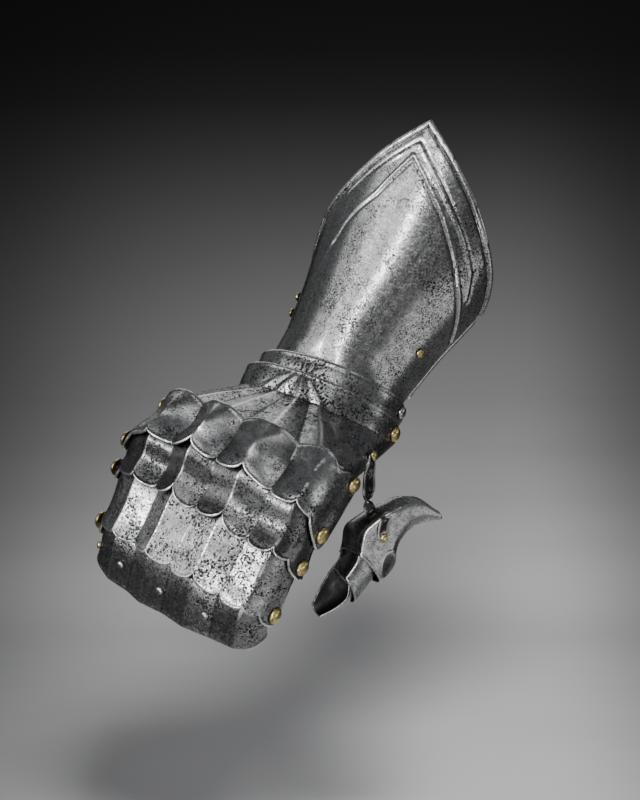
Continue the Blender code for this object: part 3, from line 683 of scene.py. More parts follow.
def ruled_plate(stations, across, lobe, along, ridge_of):
    """Ruled plate points whose bends between the ribs are round."""
    return softened(lambda at: ruled_points(stations, across, lobe, at, ridge_of), along,
                    len(stations) - 1.0, BEND_SPREAD)


def add_piece(item, body, nodes):
    """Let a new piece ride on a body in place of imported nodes."""
    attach(item, body)
    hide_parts(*nodes)


def pillow(lobe):
    """1 in the middle of each facet and 0 at its creases."""
    part = lobe - np.floor(lobe)
    return np.where(np.abs(lobe) < 3.0, 1.0 - (2.0 * part - 1.0) ** 2, 0.0)


def crease_highlight_and_shade(lobe, ridge_line=0.65):
    """Painted highlight along the ridge lines and painted shade along the valley lines between the
    fingers.
    """
    return (bump(nearest(lobe, RIDGES[:-1]), 0.03) * ridge_line,
            bump(nearest(lobe, VALLEYS), 0.035) * 0.5)


RIM_LINES = {}


def painted_rim_shadow(grid, line, width):
    """Painted shadow along the line where the next plate's rim lies over this one."""
    rim_line = RIM_LINES[line]
    distance = np.full(grid.shape[:2], 1e9)
    for first in range(0, len(rim_line), 12):
        gap = np.linalg.norm(grid[:, :, None] - rim_line[first:first + 12], axis=-1).min(-1)
        distance = np.minimum(distance, gap)
    return 0.9 * bump(np.maximum(distance - 1.2, 0.0), width)


def knuckle_ridge(lobe, along):
    """Ridge profile of the knuckle plate: each knuckle is a boss with a bevelled top facet."""
    bevel = 0.40 * np.clip(1.0 - along / 0.80, 0.0, 1.0)
    boss = 1.0 + 0.62 * (1.0 - smooth(0.7, 1.9, along))
    return np.minimum(ridge_height(lobe), 1.0 - bevel) * boss


def build_knuckle_plate():
    """The knuckle plate, with four bosses and a scalloped rim."""
    end = petal_rim(COLUMNS, (2.80, 2.78, 2.28, 2.38, 2.42, 2.72, 2.78),
                    (2.96, 3.05, 2.97, 2.97, 3.08, 3.02, 3.24, 2.98), tab=3.18)
    start = -0.32 * np.sin(0.5 * math.pi * ridge_height(COLUMNS)) ** 0.7 + 0.14
    start = start + 0.30 * corner_drop(COLUMNS) + 0.42 * bump(COLUMNS - 3.38, 0.17)
    grid, lobe, along = hand_plate(KNUCKLE_PLATE, start, end, knuckle_ridge, rows=76)
    top = path_length(grid, 0)
    swell = 0.9 * pillow(lobe) * smooth(0.6, 1.8, along)
    bead = 0.28 * bump(top[-1:] - top - 0.6, 0.7) + 0.18 * bump(top - 0.8, 0.8)
    grid = raised(grid, INSIDE, swell + bead)
    # Painted highlight on the edges and ridge lines; painted shade along the valley lines and in the
    # hollows between the bosses.
    ridge, valley = crease_highlight_and_shade(lobe)
    # The painted edge highlight fades towards the plate's top edge.
    brightening = 0.4 + 0.6 * smooth(0.0, 6.0, path_length(grid, 0))
    hollow = 0.55 * bump(nearest(lobe, VALLEYS), 0.30) * (1.0 - smooth(0.8, 2.0, along))
    RIM_LINES["knuckle_plate"] = grid[-1]
    RIM_LINES["knuckle_top"] = grid[0]
    item = shell("knuckle_plate_detailed", grid, INSIDE, STEEL, most(painted_edge_highlight(grid) * brightening, ridge),
                 most(valley, hollow))
    add_piece(item, "knuckles", ["knuckle_plate"])


def build_finger_lame(name, above, stations, body, cusps, bottoms, patina=0.0):
    """A finger lame with a scalloped rim."""
    end = petal_rim(COLUMNS, cusps, bottoms, tab=3.05)
    grid, lobe, along = hand_plate(stations, 0.45 * corner_drop(COLUMNS), end,
                                   lambda lobe, along: ridge_height(lobe), rows=70)
    top = path_length(grid, 0)
    to_rim = top[-1:] - top
    grid = raised(grid, INSIDE, 0.28 * bump(to_rim - 0.6, 0.7) + 0.3 * pillow(lobe) * bump(to_rim, 6.0))
    # Painted highlight on the edges and ridge lines, cleared under the painted shadow of the plate
    # above; painted shade along the valleys, under that rim and, through patina, over the whole lame.
    ridge, valley = crease_highlight_and_shade(lobe)
    RIM_LINES[name] = grid[-1]
    painted_shade = painted_rim_shadow(grid, above, 2.0)
    item = shell(name + "_detailed", grid, INSIDE, STEEL, most(painted_edge_highlight(grid), ridge) * (1.0 - painted_shade),
                 most(valley, painted_shade, patina))
    add_piece(item, body, [name])


def fingertip_ridge(lobe, along):
    """Ridge profile of the fingertip lame, which fades towards its end."""
    return ridge_height(lobe) * (1.0 - 0.35 * smooth(1.0, 2.0, along))


def build_fingertip():
    """The last finger lame, which turns in at its end."""
    end = 2.0 - 0.10 * bump(np.abs(COLUMNS) - 4.0, 0.35)
    grid, lobe, along = hand_plate(FINGERTIP, 0.45 * corner_drop(COLUMNS), end, fingertip_ridge,
                                   rows=60)
    top = path_length(grid, 0)
    grid = raised(grid, INSIDE, 0.22 * bump(top[-1:] - top - 0.8, 0.9))
    # Painted highlight on the edges and faint ridge lines; painted shade over the whole lame, along the
    # valleys and under the rim of the lame above.
    ridge, valley = crease_highlight_and_shade(lobe, ridge_line=0.25)
    item = shell("fingertip_lame_detailed", grid, INSIDE, STEEL, most(painted_edge_highlight(grid) * 0.8, ridge),
                 most(0.3 + valley, painted_rim_shadow(grid, "finger_lame_2", 2.0)))
    add_piece(item, "fingertip", ["fingertip_lame"])


FLUTE_ALONG = (0.0, 0.25, 0.6, 1.0, 1.5, 2.0, 3.0)
FLUTE_SPREAD = (0.16, 0.20, 0.36, 0.50, 0.78, 1.0, 1.0)
FLUTE_MIDDLE = (0.22, 0.20, 0.12, 0.05, 0.0, 0.0, 0.0)
FLUTE_HEIGHT = (0.0, 0.6, 1.4, 1.9, 2.5, 3.0, 3.0)


def hand_back_height(across, along):
    """Height in mm of the flutes that fan out from the wrist to the knuckles."""
    spread = np.interp(along, FLUTE_ALONG, FLUTE_SPREAD)
    middle = np.interp(along, FLUTE_ALONG, FLUTE_MIDDLE)
    fan = (across - middle) / spread
    lobe = lobe_of(np.clip(fan, -4.0, 4.0))
    height = np.interp(along, FLUTE_ALONG, FLUTE_HEIGHT) * np.minimum(ridge_height(lobe), 0.86)
    fluted = 1.0 - smooth(2.9, 3.25, np.abs(lobe))
    height += 0.7 * fluted * (smooth(0.97, 1.01, along) - 0.55 * smooth(1.0, 1.9, along))
    height += 1.9 * bump(across + 2.3, 0.95) * bump(along - 1.42, 0.33)
    return height, lobe


def hand_back_points(across, along):
    """Points of the fluted plate over the back of the hand."""
    return plate_points(HAND_BACK, across, along, hand_back_height(across, along)[0])


def build_hand_back():
    """The plate over the back of the hand."""
    columns = runs((-4.0, -3.2, 14), (-3.2, 3.2, 190), (3.2, 4.0, 14))
    rows = 120
    start = 0.35 * corner_drop(columns, 3.3)
    along = start + (3.0 - start) * np.linspace(0.0, 1.0, rows + 1)[:, None]
    across = np.broadcast_to(columns, along.shape)
    lobe = hand_back_height(across, along)[1]
    grid = hand_back_points(across, along)
    top = path_length(grid, 0)
    grid = raised(grid, INSIDE, 0.30 * bump(top - 0.8, 0.8))
    fluted = np.abs(lobe) < 3.0
    visible = 1.0 - smooth(2.0, 2.3, along)
    # Painted highlight along the top edge, the flute ridges and the line where the flutes end; painted
    # shade in the valleys, on every other facet, under the knuckle plate's upper edge and along the
    # step below the flutes.
    rim = most(0.6 * bump(top, 0.5),
               bump(nearest(lobe, RIDGES), 0.085) * visible * smooth(0.05, 0.3, along),
               0.8 * bump(along - 0.985, 0.010) * fluted)
    facet = (np.floor(lobe) % 2.0 == 0.0) & fluted
    shade_and_marks = most(most(0.85 * bump(nearest(lobe, VALLEYS), 0.07), 0.12 * facet) * visible,
                 painted_rim_shadow(grid, "knuckle_top", 2.4), 0.7 * bump(along - 1.02, 0.02) * fluted)
    item = shell("hand_back_detailed", grid, INSIDE, STEEL, rim, shade_and_marks)
    add_piece(item, "hand_back", ["hand_back_plate"])


WRIST_GROOVES = ((-0.16, -0.10), (0.20, 0.16), (0.52, 0.42))


def build_wrist_lame():
    """The wrist lame: a band with beaded edges and three short grooves in its middle."""
    columns = runs((-4.0, -1.0, 60), (-1.0, 1.2, 110), (1.2, 4.0, 56))
    rows = 56
    start = 0.55 * corner_drop(columns, 3.4)
    end = 3.0 - 0.5 * corner_drop(columns, 3.4)
    along = start + (end - start) * np.linspace(0.0, 1.0, rows + 1)[:, None]
    across = np.broadcast_to(columns, along.shape)
    grid = plate_points(WRIST_BAND, across, along, np.zeros_like(along))
    top = path_length(grid, 0)
    relief = 0.35 * bump(top - 0.9, 0.75)
    # Painted shade in the grooves.
    painted_shade = np.zeros_like(along)
    for upper, lower in WRIST_GROOVES:
        line = upper + (lower - upper) * along / 2.0
        groove = bump(across - line, 0.055) * smooth(0.12, 0.3, along) * (1.0 - smooth(2.0, 2.3, along))
        relief -= 0.55 * groove
        painted_shade = np.maximum(painted_shade, 0.75 * groove)
    inside = INSIDE * 0.2
    # Painted highlight along the top edge.
    item = shell("wrist_lame_detailed", raised(grid, inside, relief), inside, STEEL,
                 0.7 * bump(top, 0.5), painted_shade)
    add_piece(item, "wrist_band", ["wrist_lame"])


# ---- cuff

CHEVRON_OUTER = ((-33.0, 86.0), (-20.0, 100.5), (0.0, 123.0), (63.0, 79.5), (74.0, 66.0))
CHEVRON_INNER = ((-31.0, 60.0), (-27.0, 71.0), (-21.0, 80.0), (-12.0, 91.0), (0.0, 116.5),
                 (30.0, 96.0), (62.0, 69.5), (86.0, 52.0), (94.0, 46.0))
UNROLL = 0.84


def line_distance(x, y, points):
    """Signed distance in mm from points to a bent line; positive on the rim's side of it."""
    best = np.full(x.shape, 1e9)
    sign = np.ones(x.shape)
    for (ax, ay), (bx, by) in zip(points, points[1:]):
        dx = bx - ax
        dy = by - ay
        t = np.clip(((x - ax) * dx + (y - ay) * dy) / (dx * dx + dy * dy), 0.0, 1.0)
        gap = np.hypot(x - ax - t * dx, y - ay - t * dy)
        side = np.sign(dx * (y - ay) - dy * (x - ax))
        nearer = gap < best
        sign = np.where(nearer, side, sign)
        best = np.where(nearer, gap, best)
    return best * sign


def cuff_relief(angle, z, to_rim):
    """Height of the cuff's keel, borders and rolled rim in mm, and the distances to its two lines."""
    outer, inner = (line_distance(angle * UNROLL, z, [(a * UNROLL, h) for a, h in line])
                    for line in (CHEVRON_OUTER, CHEVRON_INNER))
    left = 1.0 - smooth(-4.0, -22.0, angle)
    relief = 2.4 * np.clip(1.0 - np.abs(angle) / 30.0, 0.0, 1.0) * (1.0 - 0.4 * smooth(90.0, 130.0, z))
    relief = relief * smooth(0.0, 12.0, z)
    relief += 0.60 * left * bump(inner - 0.2, 0.85) - 0.35 * bump(inner + 1.6, 0.8)
    relief += 0.30 * (0.3 + 0.7 * left) * smooth(-0.6, 0.6, inner)
    relief += 0.50 * left * bump(outer, 0.8) - 0.40 * bump(outer - 1.7, 0.9)
    relief += 1.25 * np.sqrt(np.clip(1.0 - ((to_rim - 1.6) / 1.6) ** 2, 0.0, 1.0))
    relief -= 0.45 * bump(to_rim - 3.8, 0.8)
    return relief, outer, inner


# Places of the small nicks in the cuff's rim: angle, and distance to the rim in mm.
NICKS = ((-17.0, 0.6), (-6.0, 1.2), (21.0, 0.4), (44.0, 1.0), (62.0, 0.8))


def build_cuff():
    """The pointed cuff with its keel, chevron borders and rolled rim."""
    columns = 270
    rows = 172
    angle = np.linspace(-100.0, 100.0, columns + 1)
    part = np.linspace(0.0, 1.0, rows + 1)
    part = part + 0.10 * np.sin(math.pi * part)
    low = CUFF_LOW_MIDDLE_Z + CUFF_LOW_SLANT * cuff_points(angle, 0.0)[:, 0]
    high = np.interp(angle, CUFF_RIM[:, 0], CUFF_RIM[:, 1])
    z = low + (high - low) * part[:, None]
    turn = np.broadcast_to(angle, z.shape)
    grid = cuff_points(turn, z)
    down = path_length(grid, 0)
    to_rim = (down[-1:] - down) / np.hypot(1.0, np.gradient(high, angle * UNROLL))
    relief, outer, inner = cuff_relief(turn, z, to_rim)
    axis = grid * UPWARD
    # Painted light is stronger right of the keel: the border highlight brightens and the groove shade
    # deepens there.
    right = smooth(-16.0, 8.0, turn)
    shine = 0.05 + 0.95 * right
    groove = 0.35 + 0.35 * right
    # Painted highlight on the rolled rim, along the borders and along the keel.
    rim = most(0.75 * most(bump(to_rim - 1.2, 0.9), bump(to_rim, 0.8)),
               0.34 * shine * bump(inner - 0.1, 0.5), 0.26 * shine * bump(outer, 0.45),
               0.22 * bump(turn, 1.4) * (1.0 - smooth(95.0, 115.0, z)))
    # Painted shade in the groove behind the rolled rim, in the grooves beside the borders and over the
    # left of the keel; the nicks and the crack below are dark marks.
    shade_and_marks = most(0.9 * bump(to_rim - 3.9, 0.7), groove * bump(inner + 1.6, 0.6),
                 groove * bump(outer - 1.5, 0.6),
                 0.30 * smooth(2.0, 0.0, turn) * (1.0 - smooth(60.0, 100.0, z)))
    for nick_angle, nick_to_rim in NICKS:
        nick = bump(turn - nick_angle, 0.9) * bump(to_rim - nick_to_rim, 1.3)
        shade_and_marks = most(shade_and_marks, nick)
        rim = rim * (1.0 - nick)
    crack = bump(z - 116.0 + 0.10 * np.abs(turn - 4.0) + 0.5 * np.sin(turn * 1.3), 0.35)
    shade_and_marks = most(shade_and_marks, 0.8 * crack * (turn > -9.0) * (turn < 17.0))
    item = shell("cuff_detailed", raised(grid, axis, relief), axis, CUFF_STEEL, rim, shade_and_marks)
    add_piece(item, "cuff", ["cuff"])


def build_inner_plate():
    """The plain plate that closes the cuff under the forearm."""
    angle = np.linspace(104.0, 252.0, 120)
    high = 62.0 - 28.0 * ((angle - 104.0) / 148.0)
    z = 10.0 + (high - 10.0) * np.linspace(0.0, 1.0, 40)[:, None]
    grid = cuff_points(np.broadcast_to(angle, z.shape), z)
    axis = grid * UPWARD
    edge = rim_distance(grid)
    grid = raised(grid, axis, 0.35 * bump(edge - 0.9, 0.8))
    # Painted highlight along the edges.
    item = shell("inner_plate_detailed", grid, axis, CUFF_STEEL, bump(edge, 0.6), 0.0)
    add_piece(item, "inner_plate", ["inner_cuff_plate"])


# ---- rivets

RIVET_HEAD_R = 4.7
RIVET_HEAD_H = 2.9
RIVET_SHANK_R = 1.5
PEEN_R = 2.6
PEEN_H = 0.8
PEEN_GAP = 1.9
CORNER_HEIGHT = 0.35
METALS = {"brass": (BRASS, "rivet_brass"), "steel": (RIVET_STEEL, "plate_steel")}


def both_ends(profile):
    """A profile from one end to the middle, and its mirror image to the other end."""
    return profile + [(-height, radius) for height, radius in reversed(profile)]


def lathe(name, profile, centre, axis, material, steps, wobble=0.0, phase=0.0, shaded_below=-math.inf):
    """A solid turned about an axis in the forearm frame; profile rows are (height, radius)."""
    axis = unit(np.asarray(axis, float))
    helper = UPWARD if abs(axis[2]) < 0.9 else np.array((1.0, 0.0, 0.0))
    u = unit(np.cross(axis, helper))
    v = np.cross(axis, u)
    turn = 2.0 * math.pi * np.arange(steps) / steps
    round_about = u * np.cos(turn)[:, None] + v * np.sin(turn)[:, None]
    uneven = 1.0 + wobble * np.sin(2.0 * turn + phase) + wobble * 0.6 * np.sin(5.0 * turn + 2.0 * phase)
    tilt = wobble * 1.4 * np.cos(turn + phase)
    points = []
    painted_shade = []
    rows = []
    for height, radius in profile:
        ring = [centre + axis * height]
        if radius > 0.0:
            lift = height + tilt * radius * (height > 0.2)
            ring = centre + axis * lift[:, None] + round_about * (radius * uneven)[:, None]
        rows.append(range(len(points), len(points) + len(ring)))
        points.extend(ring)
        # Rows near the plate get a painted shade where the head meets it.
        painted_shade.extend([0.85 if height < shaded_below else 0.0] * len(ring))
    faces = []
    for low, high in zip(rows, rows[1:]):
        for k in range(steps):
            n = (k + 1) % steps
            corners = (low[k % len(low)], high[k % len(high)], high[n % len(high)], low[n % len(low)])
            faces.append(tuple(dict.fromkeys(corners)))
    values = {"shade_and_marks": np.array(painted_shade), "rim": np.zeros(len(points))}
    return new_object(name, place(np.array(points)), faces, material, smooth_angle=40.0, values=values)


def dome(base, radius, height, steps=9):
    """Profile of a rubbed domed head from its crown to its edge, above a small flange."""
    rows = [(base + height, 0.0)]
    for step in range(1, steps + 1):
        turn = 0.5 * math.pi * step / steps
        rows.append((base + 0.25 + (height - 0.25) * math.cos(turn) ** 0.85,
                     radius * 0.94 * math.sin(turn)))
    rows += [(base + 0.22, radius * 0.985), (base + 0.10, radius), (base, radius * 0.985)]
    return rows


def add_pivot_rivet(name, hinge, inner_wall, head, side, metal, phase):
    """One rivet on a hinge's axis, with its domed head outside and its peened end inside."""
    outer = hinge.half_width + LAYER + FIT_GAP
    drop = hinge.half_width * (1.0 - math.sqrt(1.0 - (PEEN_R / hinge.depth) ** 2))
    inner = inner_wall - WALL - drop - PEEN_GAP
    profile = dome(outer - 0.25, RIVET_HEAD_R * head, (RIVET_HEAD_H + 0.15) * head)
    profile += [(outer - 0.25, RIVET_SHANK_R), (inner, RIVET_SHANK_R), (inner, PEEN_R * 0.96),
                (inner - 0.15, PEEN_R), (inner - PEEN_H * 0.6, PEEN_R * 0.9),
                (inner - PEEN_H, PEEN_R * 0.55), (inner - PEEN_H, 0.0)]
    material, slot = METALS[metal]
    item = lathe(name + "_detailed", profile, np.array((0.0, hinge.y, hinge.z)),
                 hinge_turn(hinge) @ np.array((side, 0.0, 0.0)), material, steps=40, wobble=0.018,
                 phase=phase, shaded_below=outer + CORNER_HEIGHT)
    add_piece(item, node_body(name), [name])


def local_frame(surface, first, second, outside):
    """Place and outward normal of a surface at a point."""
    at, beside, below = surface(np.array((first, first + 0.01, first)),
                                np.array((second, second, second + 0.01)))
    normal = unit(np.cross(beside - at, below - at))
    return at, normal if normal @ (outside - at) >= 0.0 else -normal


def add_stud(name, at, normal, radius, body, metal, phase, lift=0.35):
    """A small domed head on a plate."""
    profile = dome(0.0, radius, radius * 0.72, 7) + [(0.0, 0.0)]
    material, slot = METALS[metal]
    item = lathe(name + "_detailed", profile, at + normal * lift, normal, material, steps=28,
                 wobble=0.02, phase=phase, shaded_below=CORNER_HEIGHT)
    add_piece(item, body, [name])


# Pivots of the hand: name, hinge, half width inside the wall, size of the head, metal.
PIVOTS = (
    ("wrist_pivot", WRIST, 37.0, 0.75, "steel"),
    ("heel_pivot", HEEL, HEEL.half_width, 0.9, "brass"),
    ("knuckle_pivot", KNUCKLE, KNUCKLE.half_width, 1.0, "brass"),
    ("finger_pivot_1", FINGER_1, FINGER_1.half_width, 1.0, "brass"),
    ("finger_pivot_2", FINGER_2, FINGER_2.half_width, 1.0, "brass"),
    ("finger_pivot_3", FINGER_3, FINGER_3.half_width, 1.0, "brass"),
)


def node_body(name):
    """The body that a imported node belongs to."""
    return frame["nodes"][name]["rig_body"]


def build_pivots():
    """The rivets of every hinge of the hand."""
    phase = 0.3
    for name, hinge, inner_wall, head, metal in PIVOTS:
        for side, label in ((1.0, "thumb_side"), (-1.0, "little_side")):
            add_pivot_rivet(f"{name}_{label}", hinge, inner_wall, head, side, metal, phase)
            phase += 1.7


FINGERTIP_RIVETS = ((-3.4, 1.45), (-2.2, 1.45), (-0.2, 1.5), (1.9, 1.5))


def fingertip_points(across, along):
    """Points of the fingertip lame without its bead."""
    return ruled_plate(FINGERTIP, across, lobe_of(across), along, fingertip_ridge)


def build_fingertip_rivets():
    """The row of small rivets across the fingertip lame."""
    for index, (across, along) in enumerate(FINGERTIP_RIVETS):
        at, normal = local_frame(fingertip_points, across, along, np.array((0.0, -200.0, -150.0)))
        add_stud(f"fingertip_rivet_{index + 1}", at, normal, 2.2, "fingertip",
                 "brass" if index == 0 else "steel", phase=index * 1.3)


# Small rivets of the cuff: angle and height; the first three hold its hinge leaf.
CUFF_SMALL_RIVETS = ((-82.0, 19.5), (-82.0, 28.5), (-90.0, 24.0), (73.0, 31.0))
LEAF_LOW_Z = 17.0
LEAF_HIGH_Z = 31.0
CUFF_HINGE_ANGLE = 256.5
LEAF_WALL = 1.0


def build_cuff_hinge():
    """The small hinge of the inner plate, its brass heads, and the stud on the thumb side."""
    for node, start, end, body in (("cuff_hinge_leaf", 259.5, 282.5, "cuff"),
                                   ("inner_plate_hinge_leaf", 240.5, 252.9, "inner_plate")):
        turn, z = np.meshgrid(np.linspace(start, end, 25), np.linspace(LEAF_LOW_Z, LEAF_HIGH_Z, 15))
        grid = cuff_points(turn, z, FIT_GAP + LEAF_WALL)
        # Painted highlight along the leaf's edges.
        item = shell(node + "_detailed", grid, grid * UPWARD, IRON, bump(rim_distance(grid), 0.7), 0.0,
                     LEAF_WALL)
        add_piece(item, body, [node])
    low = cuff_points(CUFF_HINGE_ANGLE, LEAF_LOW_Z)
    high = cuff_points(CUFF_HINGE_ANGLE, LEAF_HIGH_Z)
    length = np.linalg.norm(high - low) / 2.0
    profile = both_ends([(length, 0.0), (length, 0.9), (length - 0.3, 1.5), (length * 0.36, 1.6),
                         (length * 0.34, 1.35), (length * 0.32, 1.6)])
    item = lathe("inner_plate_hinge_pin_detailed", profile, (low + high) / 2.0, high - low, IRON,
                 steps=24)
    add_piece(item, node_body("inner_plate_hinge_pin"), ["inner_plate_hinge_pin"])
    for index, (angle, z) in enumerate(CUFF_SMALL_RIVETS):
        on_leaf = angle < 0.0
        lift = FIT_GAP + LEAF_WALL if on_leaf else 0.0
        at, normal = local_frame(lambda a, b: cuff_points(a, b, lift), angle, z,
                                 cuff_points(angle, z, 10.0))
        node = f"cuff_rivet_{index + 1}"
        add_stud(node, at, normal, 2.5, node_body(node), "brass", phase=index * 0.9,
                 lift=1.2 if on_leaf else 0.35)


# ---- thumb

THUMB_HINGE = np.array((62.0, -21.0, -53.0))
THUMB_SIDEWAYS = unit(np.array((-0.4, 0.9, -0.05)))
THUMB_WRAP = 96.0
THUMB_WALL = 1.2
BARREL_R = 2.8
BARREL_LENGTH = 11.0
# Ribs of the thumb: opening x and z, back x and z, half width.
THUMB_BASE = np.array((
    (35.8, -3.2, 37.2, -6.4, 2.5),
    (25.0, 2.4, 26.5, -8.6, 7.5),
    (15.5, 1.2, 18.5, -13.0, 10.0),
    (4.0, -5.5, 13.8, -20.5, 12.0),
    (-5.5, -13.5, 12.5, -31.0, 13.5),
    (-8.0, -26.0, 5.0, -39.5, 13.5),
))
THUMB_MIDDLE = np.array((
    (-7.5, -21.0, 4.5, -32.5, 11.2),
    (-9.5, -29.0, 0.5, -39.0, 11.0),
    (-15.5, -37.5, -8.0, -50.0, 11.0),
))
THUMB_TIP = np.array((
    (-13.5, -33.0, -5.5, -44.0, 8.6),
    (-18.5, -41.0, -12.0, -51.0, 8.6),
    (-27.0, -52.5, -25.0, -57.5, 5.0),
))


def thumb_values(stations, along):
    """Ribs of a thumb plate, smoothly between the rows of its table."""
    places = np.arange(len(stations))
    return softened(lambda at: np.stack([np.interp(at, places, column) for column in stations.T], -1),
                    along, places[-1], THUMB_BEND_SPREAD)


def in_side_plane(x, z):
    """Points in the upright plane through the thumb's middle."""
    return np.stack((x, np.zeros_like(x), z), -1)


def thumb_points(stations, angle, along, lift=0.0):
    """Points of a thumb plate in an upright frame at its hinge, in mm."""
    row = thumb_values(stations, along)
    opening = in_side_plane(row[..., 0], row[..., 1])
    rise = in_side_plane(row[..., 2], row[..., 3]) - opening
    depth = np.linalg.norm(rise, axis=-1, keepdims=True)
    lift = np.asarray(lift)[..., None]

    def round_the_back(degrees):
        turn = np.radians(degrees)[..., None]
        point = opening + THUMB_SIDEWAYS * (row[..., 4:5] + lift) * np.sin(turn)
        return point + rise * ((depth + lift) / depth) * np.cos(turn)

    folded = np.clip(-(angle + THUMB_WRAP) / 100.0, 0.0, 1.0)[..., None]
    near = round_the_back(np.maximum(angle, -THUMB_WRAP))
    far = round_the_back(np.full_like(angle, THUMB_WRAP))
    bulge = -(rise / depth) * (0.30 * row[..., 4:5] + lift) * 4.0 * folded * (1.0 - folded)
    return near + (far - near) * folded + bulge


def to_forearm(upright):
    """Points of the thumb's upright frame as points of the forearm frame."""
    return upright @ ATTITUDE + THUMB_HINGE


def thumb_middle_line(stations, along):
    """The middle of a thumb plate's opening, in the forearm frame."""
    row = thumb_values(stations, along)
    return to_forearm(in_side_plane(row[..., 0], row[..., 1]))


def build_thumb_plate(node, stations, rows, near, far, relief, columns=90):
    """One plate of the thumb, from its near edge round its back to its far edge, with beaded rims."""
    spans = len(stations) - 1.0
    rows_along = np.linspace(0.0, spans, rows + 1)
    near_edge, far_edge = (np.interp(rows_along, np.linspace(0.0, spans, len(edge)), edge)[:, None]
                           for edge in (near, far))
    folded = int(columns * 0.38) if near_edge.min() > THUMB_WRAP else 0
    crease = THUMB_WRAP if folded else near_edge
    turn = -crease + (crease + far_edge) * np.linspace(0.0, 1.0, columns + 1 - folded)
    if folded:
        fold = np.linspace(1.0, 0.0, folded + 1)[:-1]
        turn = np.concatenate((-THUMB_WRAP - (near_edge - THUMB_WRAP) * fold, turn), axis=1)
    along = rows_along[:, None] * np.ones((1, columns + 1))
    grid = to_forearm(thumb_points(stations, turn, along))
    middle = thumb_middle_line(stations, along)
    edge = rim_distance(grid)
    lift, rim, shade_and_marks = relief(turn, along, edge)
    # Faint painted highlight along every edge.
    item = shell(node + "_detailed", raised(grid, middle, lift), middle, THUMB_STEEL,
                 most(rim, 0.16 * bump(edge, 0.4)), shade_and_marks, THUMB_WALL)
    add_piece(item, "thumb", [node])


def thumb_base_relief(angle, along, edge):
    """Height, painted highlight and painted shade of the base plate: a sharp crease, a hollow and a
    border.
    """
    below = smooth(2.3, 2.9, along)
    hollow = bump(angle + 34.0, 15.0) * bump(along - 4.2, 0.45)
    ring = bump(np.hypot((angle + 34.0) / 22.0, (along - 4.2) / 0.62) - 1.0, 0.16)
    lift = 0.9 * bump(angle + THUMB_WRAP, 7.0) * below - 1.3 * hollow + 0.5 * ring
    lift = lift + 0.25 * bump(edge - 0.8, 0.7)
    # Painted highlight along the crease and the hollow's raised border; painted shade in the hollow
    # and, in blotches, on the folded near face below the horn.
    rim = most(0.8 * bump(angle + THUMB_WRAP, 3.5) * below, 0.45 * ring)
    blotches = 0.5 + 0.5 * np.sin(6.0 * along + angle / 11.0) * np.sin(3.1 * along - angle / 17.0)
    return lift, rim, most(0.75 * hollow, 0.48 * smooth(98.0, 104.0, -angle) * below * blotches)


def thumb_lame_relief(angle, along, edge):
    """Height, painted crease highlight and painted shade of a plain lame with a beaded edge."""
    # Painted shade on the folded near face, and a slight darkening all over.
    return (0.25 * bump(edge - 0.7, 0.6), 0.35 * bump(angle + THUMB_WRAP, 3.5),
            most(0.42 * smooth(98.0, 104.0, -angle), 0.15))


def build_thumb_plates():
    """The base plate and the two lames of the thumb."""
    build_thumb_plate("thumb_base_plate", THUMB_BASE, 130,
                      (190.0, 190.0, 190.0, 186.0, 160.0, 165.0, 176.0, 180.0, 182.0, 176.0, 168.0),
                      (96.0, 96.0, 96.0, 96.0, 92.0, 96.0), thumb_base_relief, columns=170)
    build_thumb_plate("thumb_middle_lame", THUMB_MIDDLE, 44, (176.0, 168.0, 118.0), (96.0, 96.0, 98.0),
                      thumb_lame_relief, columns=110)
    build_thumb_plate("thumb_tip_lame", THUMB_TIP, 44, (98.0, 46.0, 14.0), (96.0, 100.0, 104.0),
                      thumb_lame_relief)


def build_thumb_barrel():
    """The barrel of the thumb's hinge, with two turned grooves."""
    half = BARREL_LENGTH / 2.0
    profile = both_ends([(half, 0.0), (half, 1.7), (half - 0.4, BARREL_R - 0.1), (1.9, BARREL_R),
                         (1.75, BARREL_R - 0.35), (1.6, BARREL_R)])
    item = lathe("thumb_hinge_barrel_detailed", profile, THUMB_HINGE,
                 np.array((0.0, 1.0, 0.0)) @ ATTITUDE, IRON, steps=32)
    add_piece(item, "thumb", ["thumb_hinge_barrel"])


THUMB_LEAF_LIFT = FIT_GAP + LEAF_WALL + 0.75


def build_thumb_lower_leaf():
    """The leaf that holds the thumb plates on the barrel, and its rivet."""
    side = np.linspace(-1.0, 1.0, 19)
    down = np.linspace(0.0, 1.0, 34)[:, None]
    taper = np.sqrt(np.clip(1.0 - np.clip((down - 0.72) / 0.28, 0.0, 1.0) ** 2, 0.06, 1.0))
    turn = -THUMB_WRAP + 22.0 * down + 5.0 * side * taper
    along = 2.95 + 0.85 * down - 0.12 * side * taper
    ripple = 0.25 * np.sin(9.0 * down + 2.0 * side)
    grid = to_forearm(thumb_points(THUMB_BASE, turn, along, THUMB_LEAF_LIFT + ripple))
    # Painted highlight along the edges.
    item = shell("thumb_lower_leaf_detailed", grid, thumb_middle_line(THUMB_BASE, along), IRON,
                 0.8 * bump(rim_distance(grid), 0.5), 0.0, LEAF_WALL)
    add_piece(item, "thumb", ["thumb_lower_leaf"])
    at, normal = local_frame(lambda a, b: to_forearm(thumb_points(THUMB_BASE, a, b, THUMB_LEAF_LIFT)),
                             -77.0, 3.62, to_forearm(np.array((10.0, -60.0, 0.0))))
    add_stud("thumb_leaf_rivet", at, normal, 2.2, "thumb", "brass", phase=0.4)


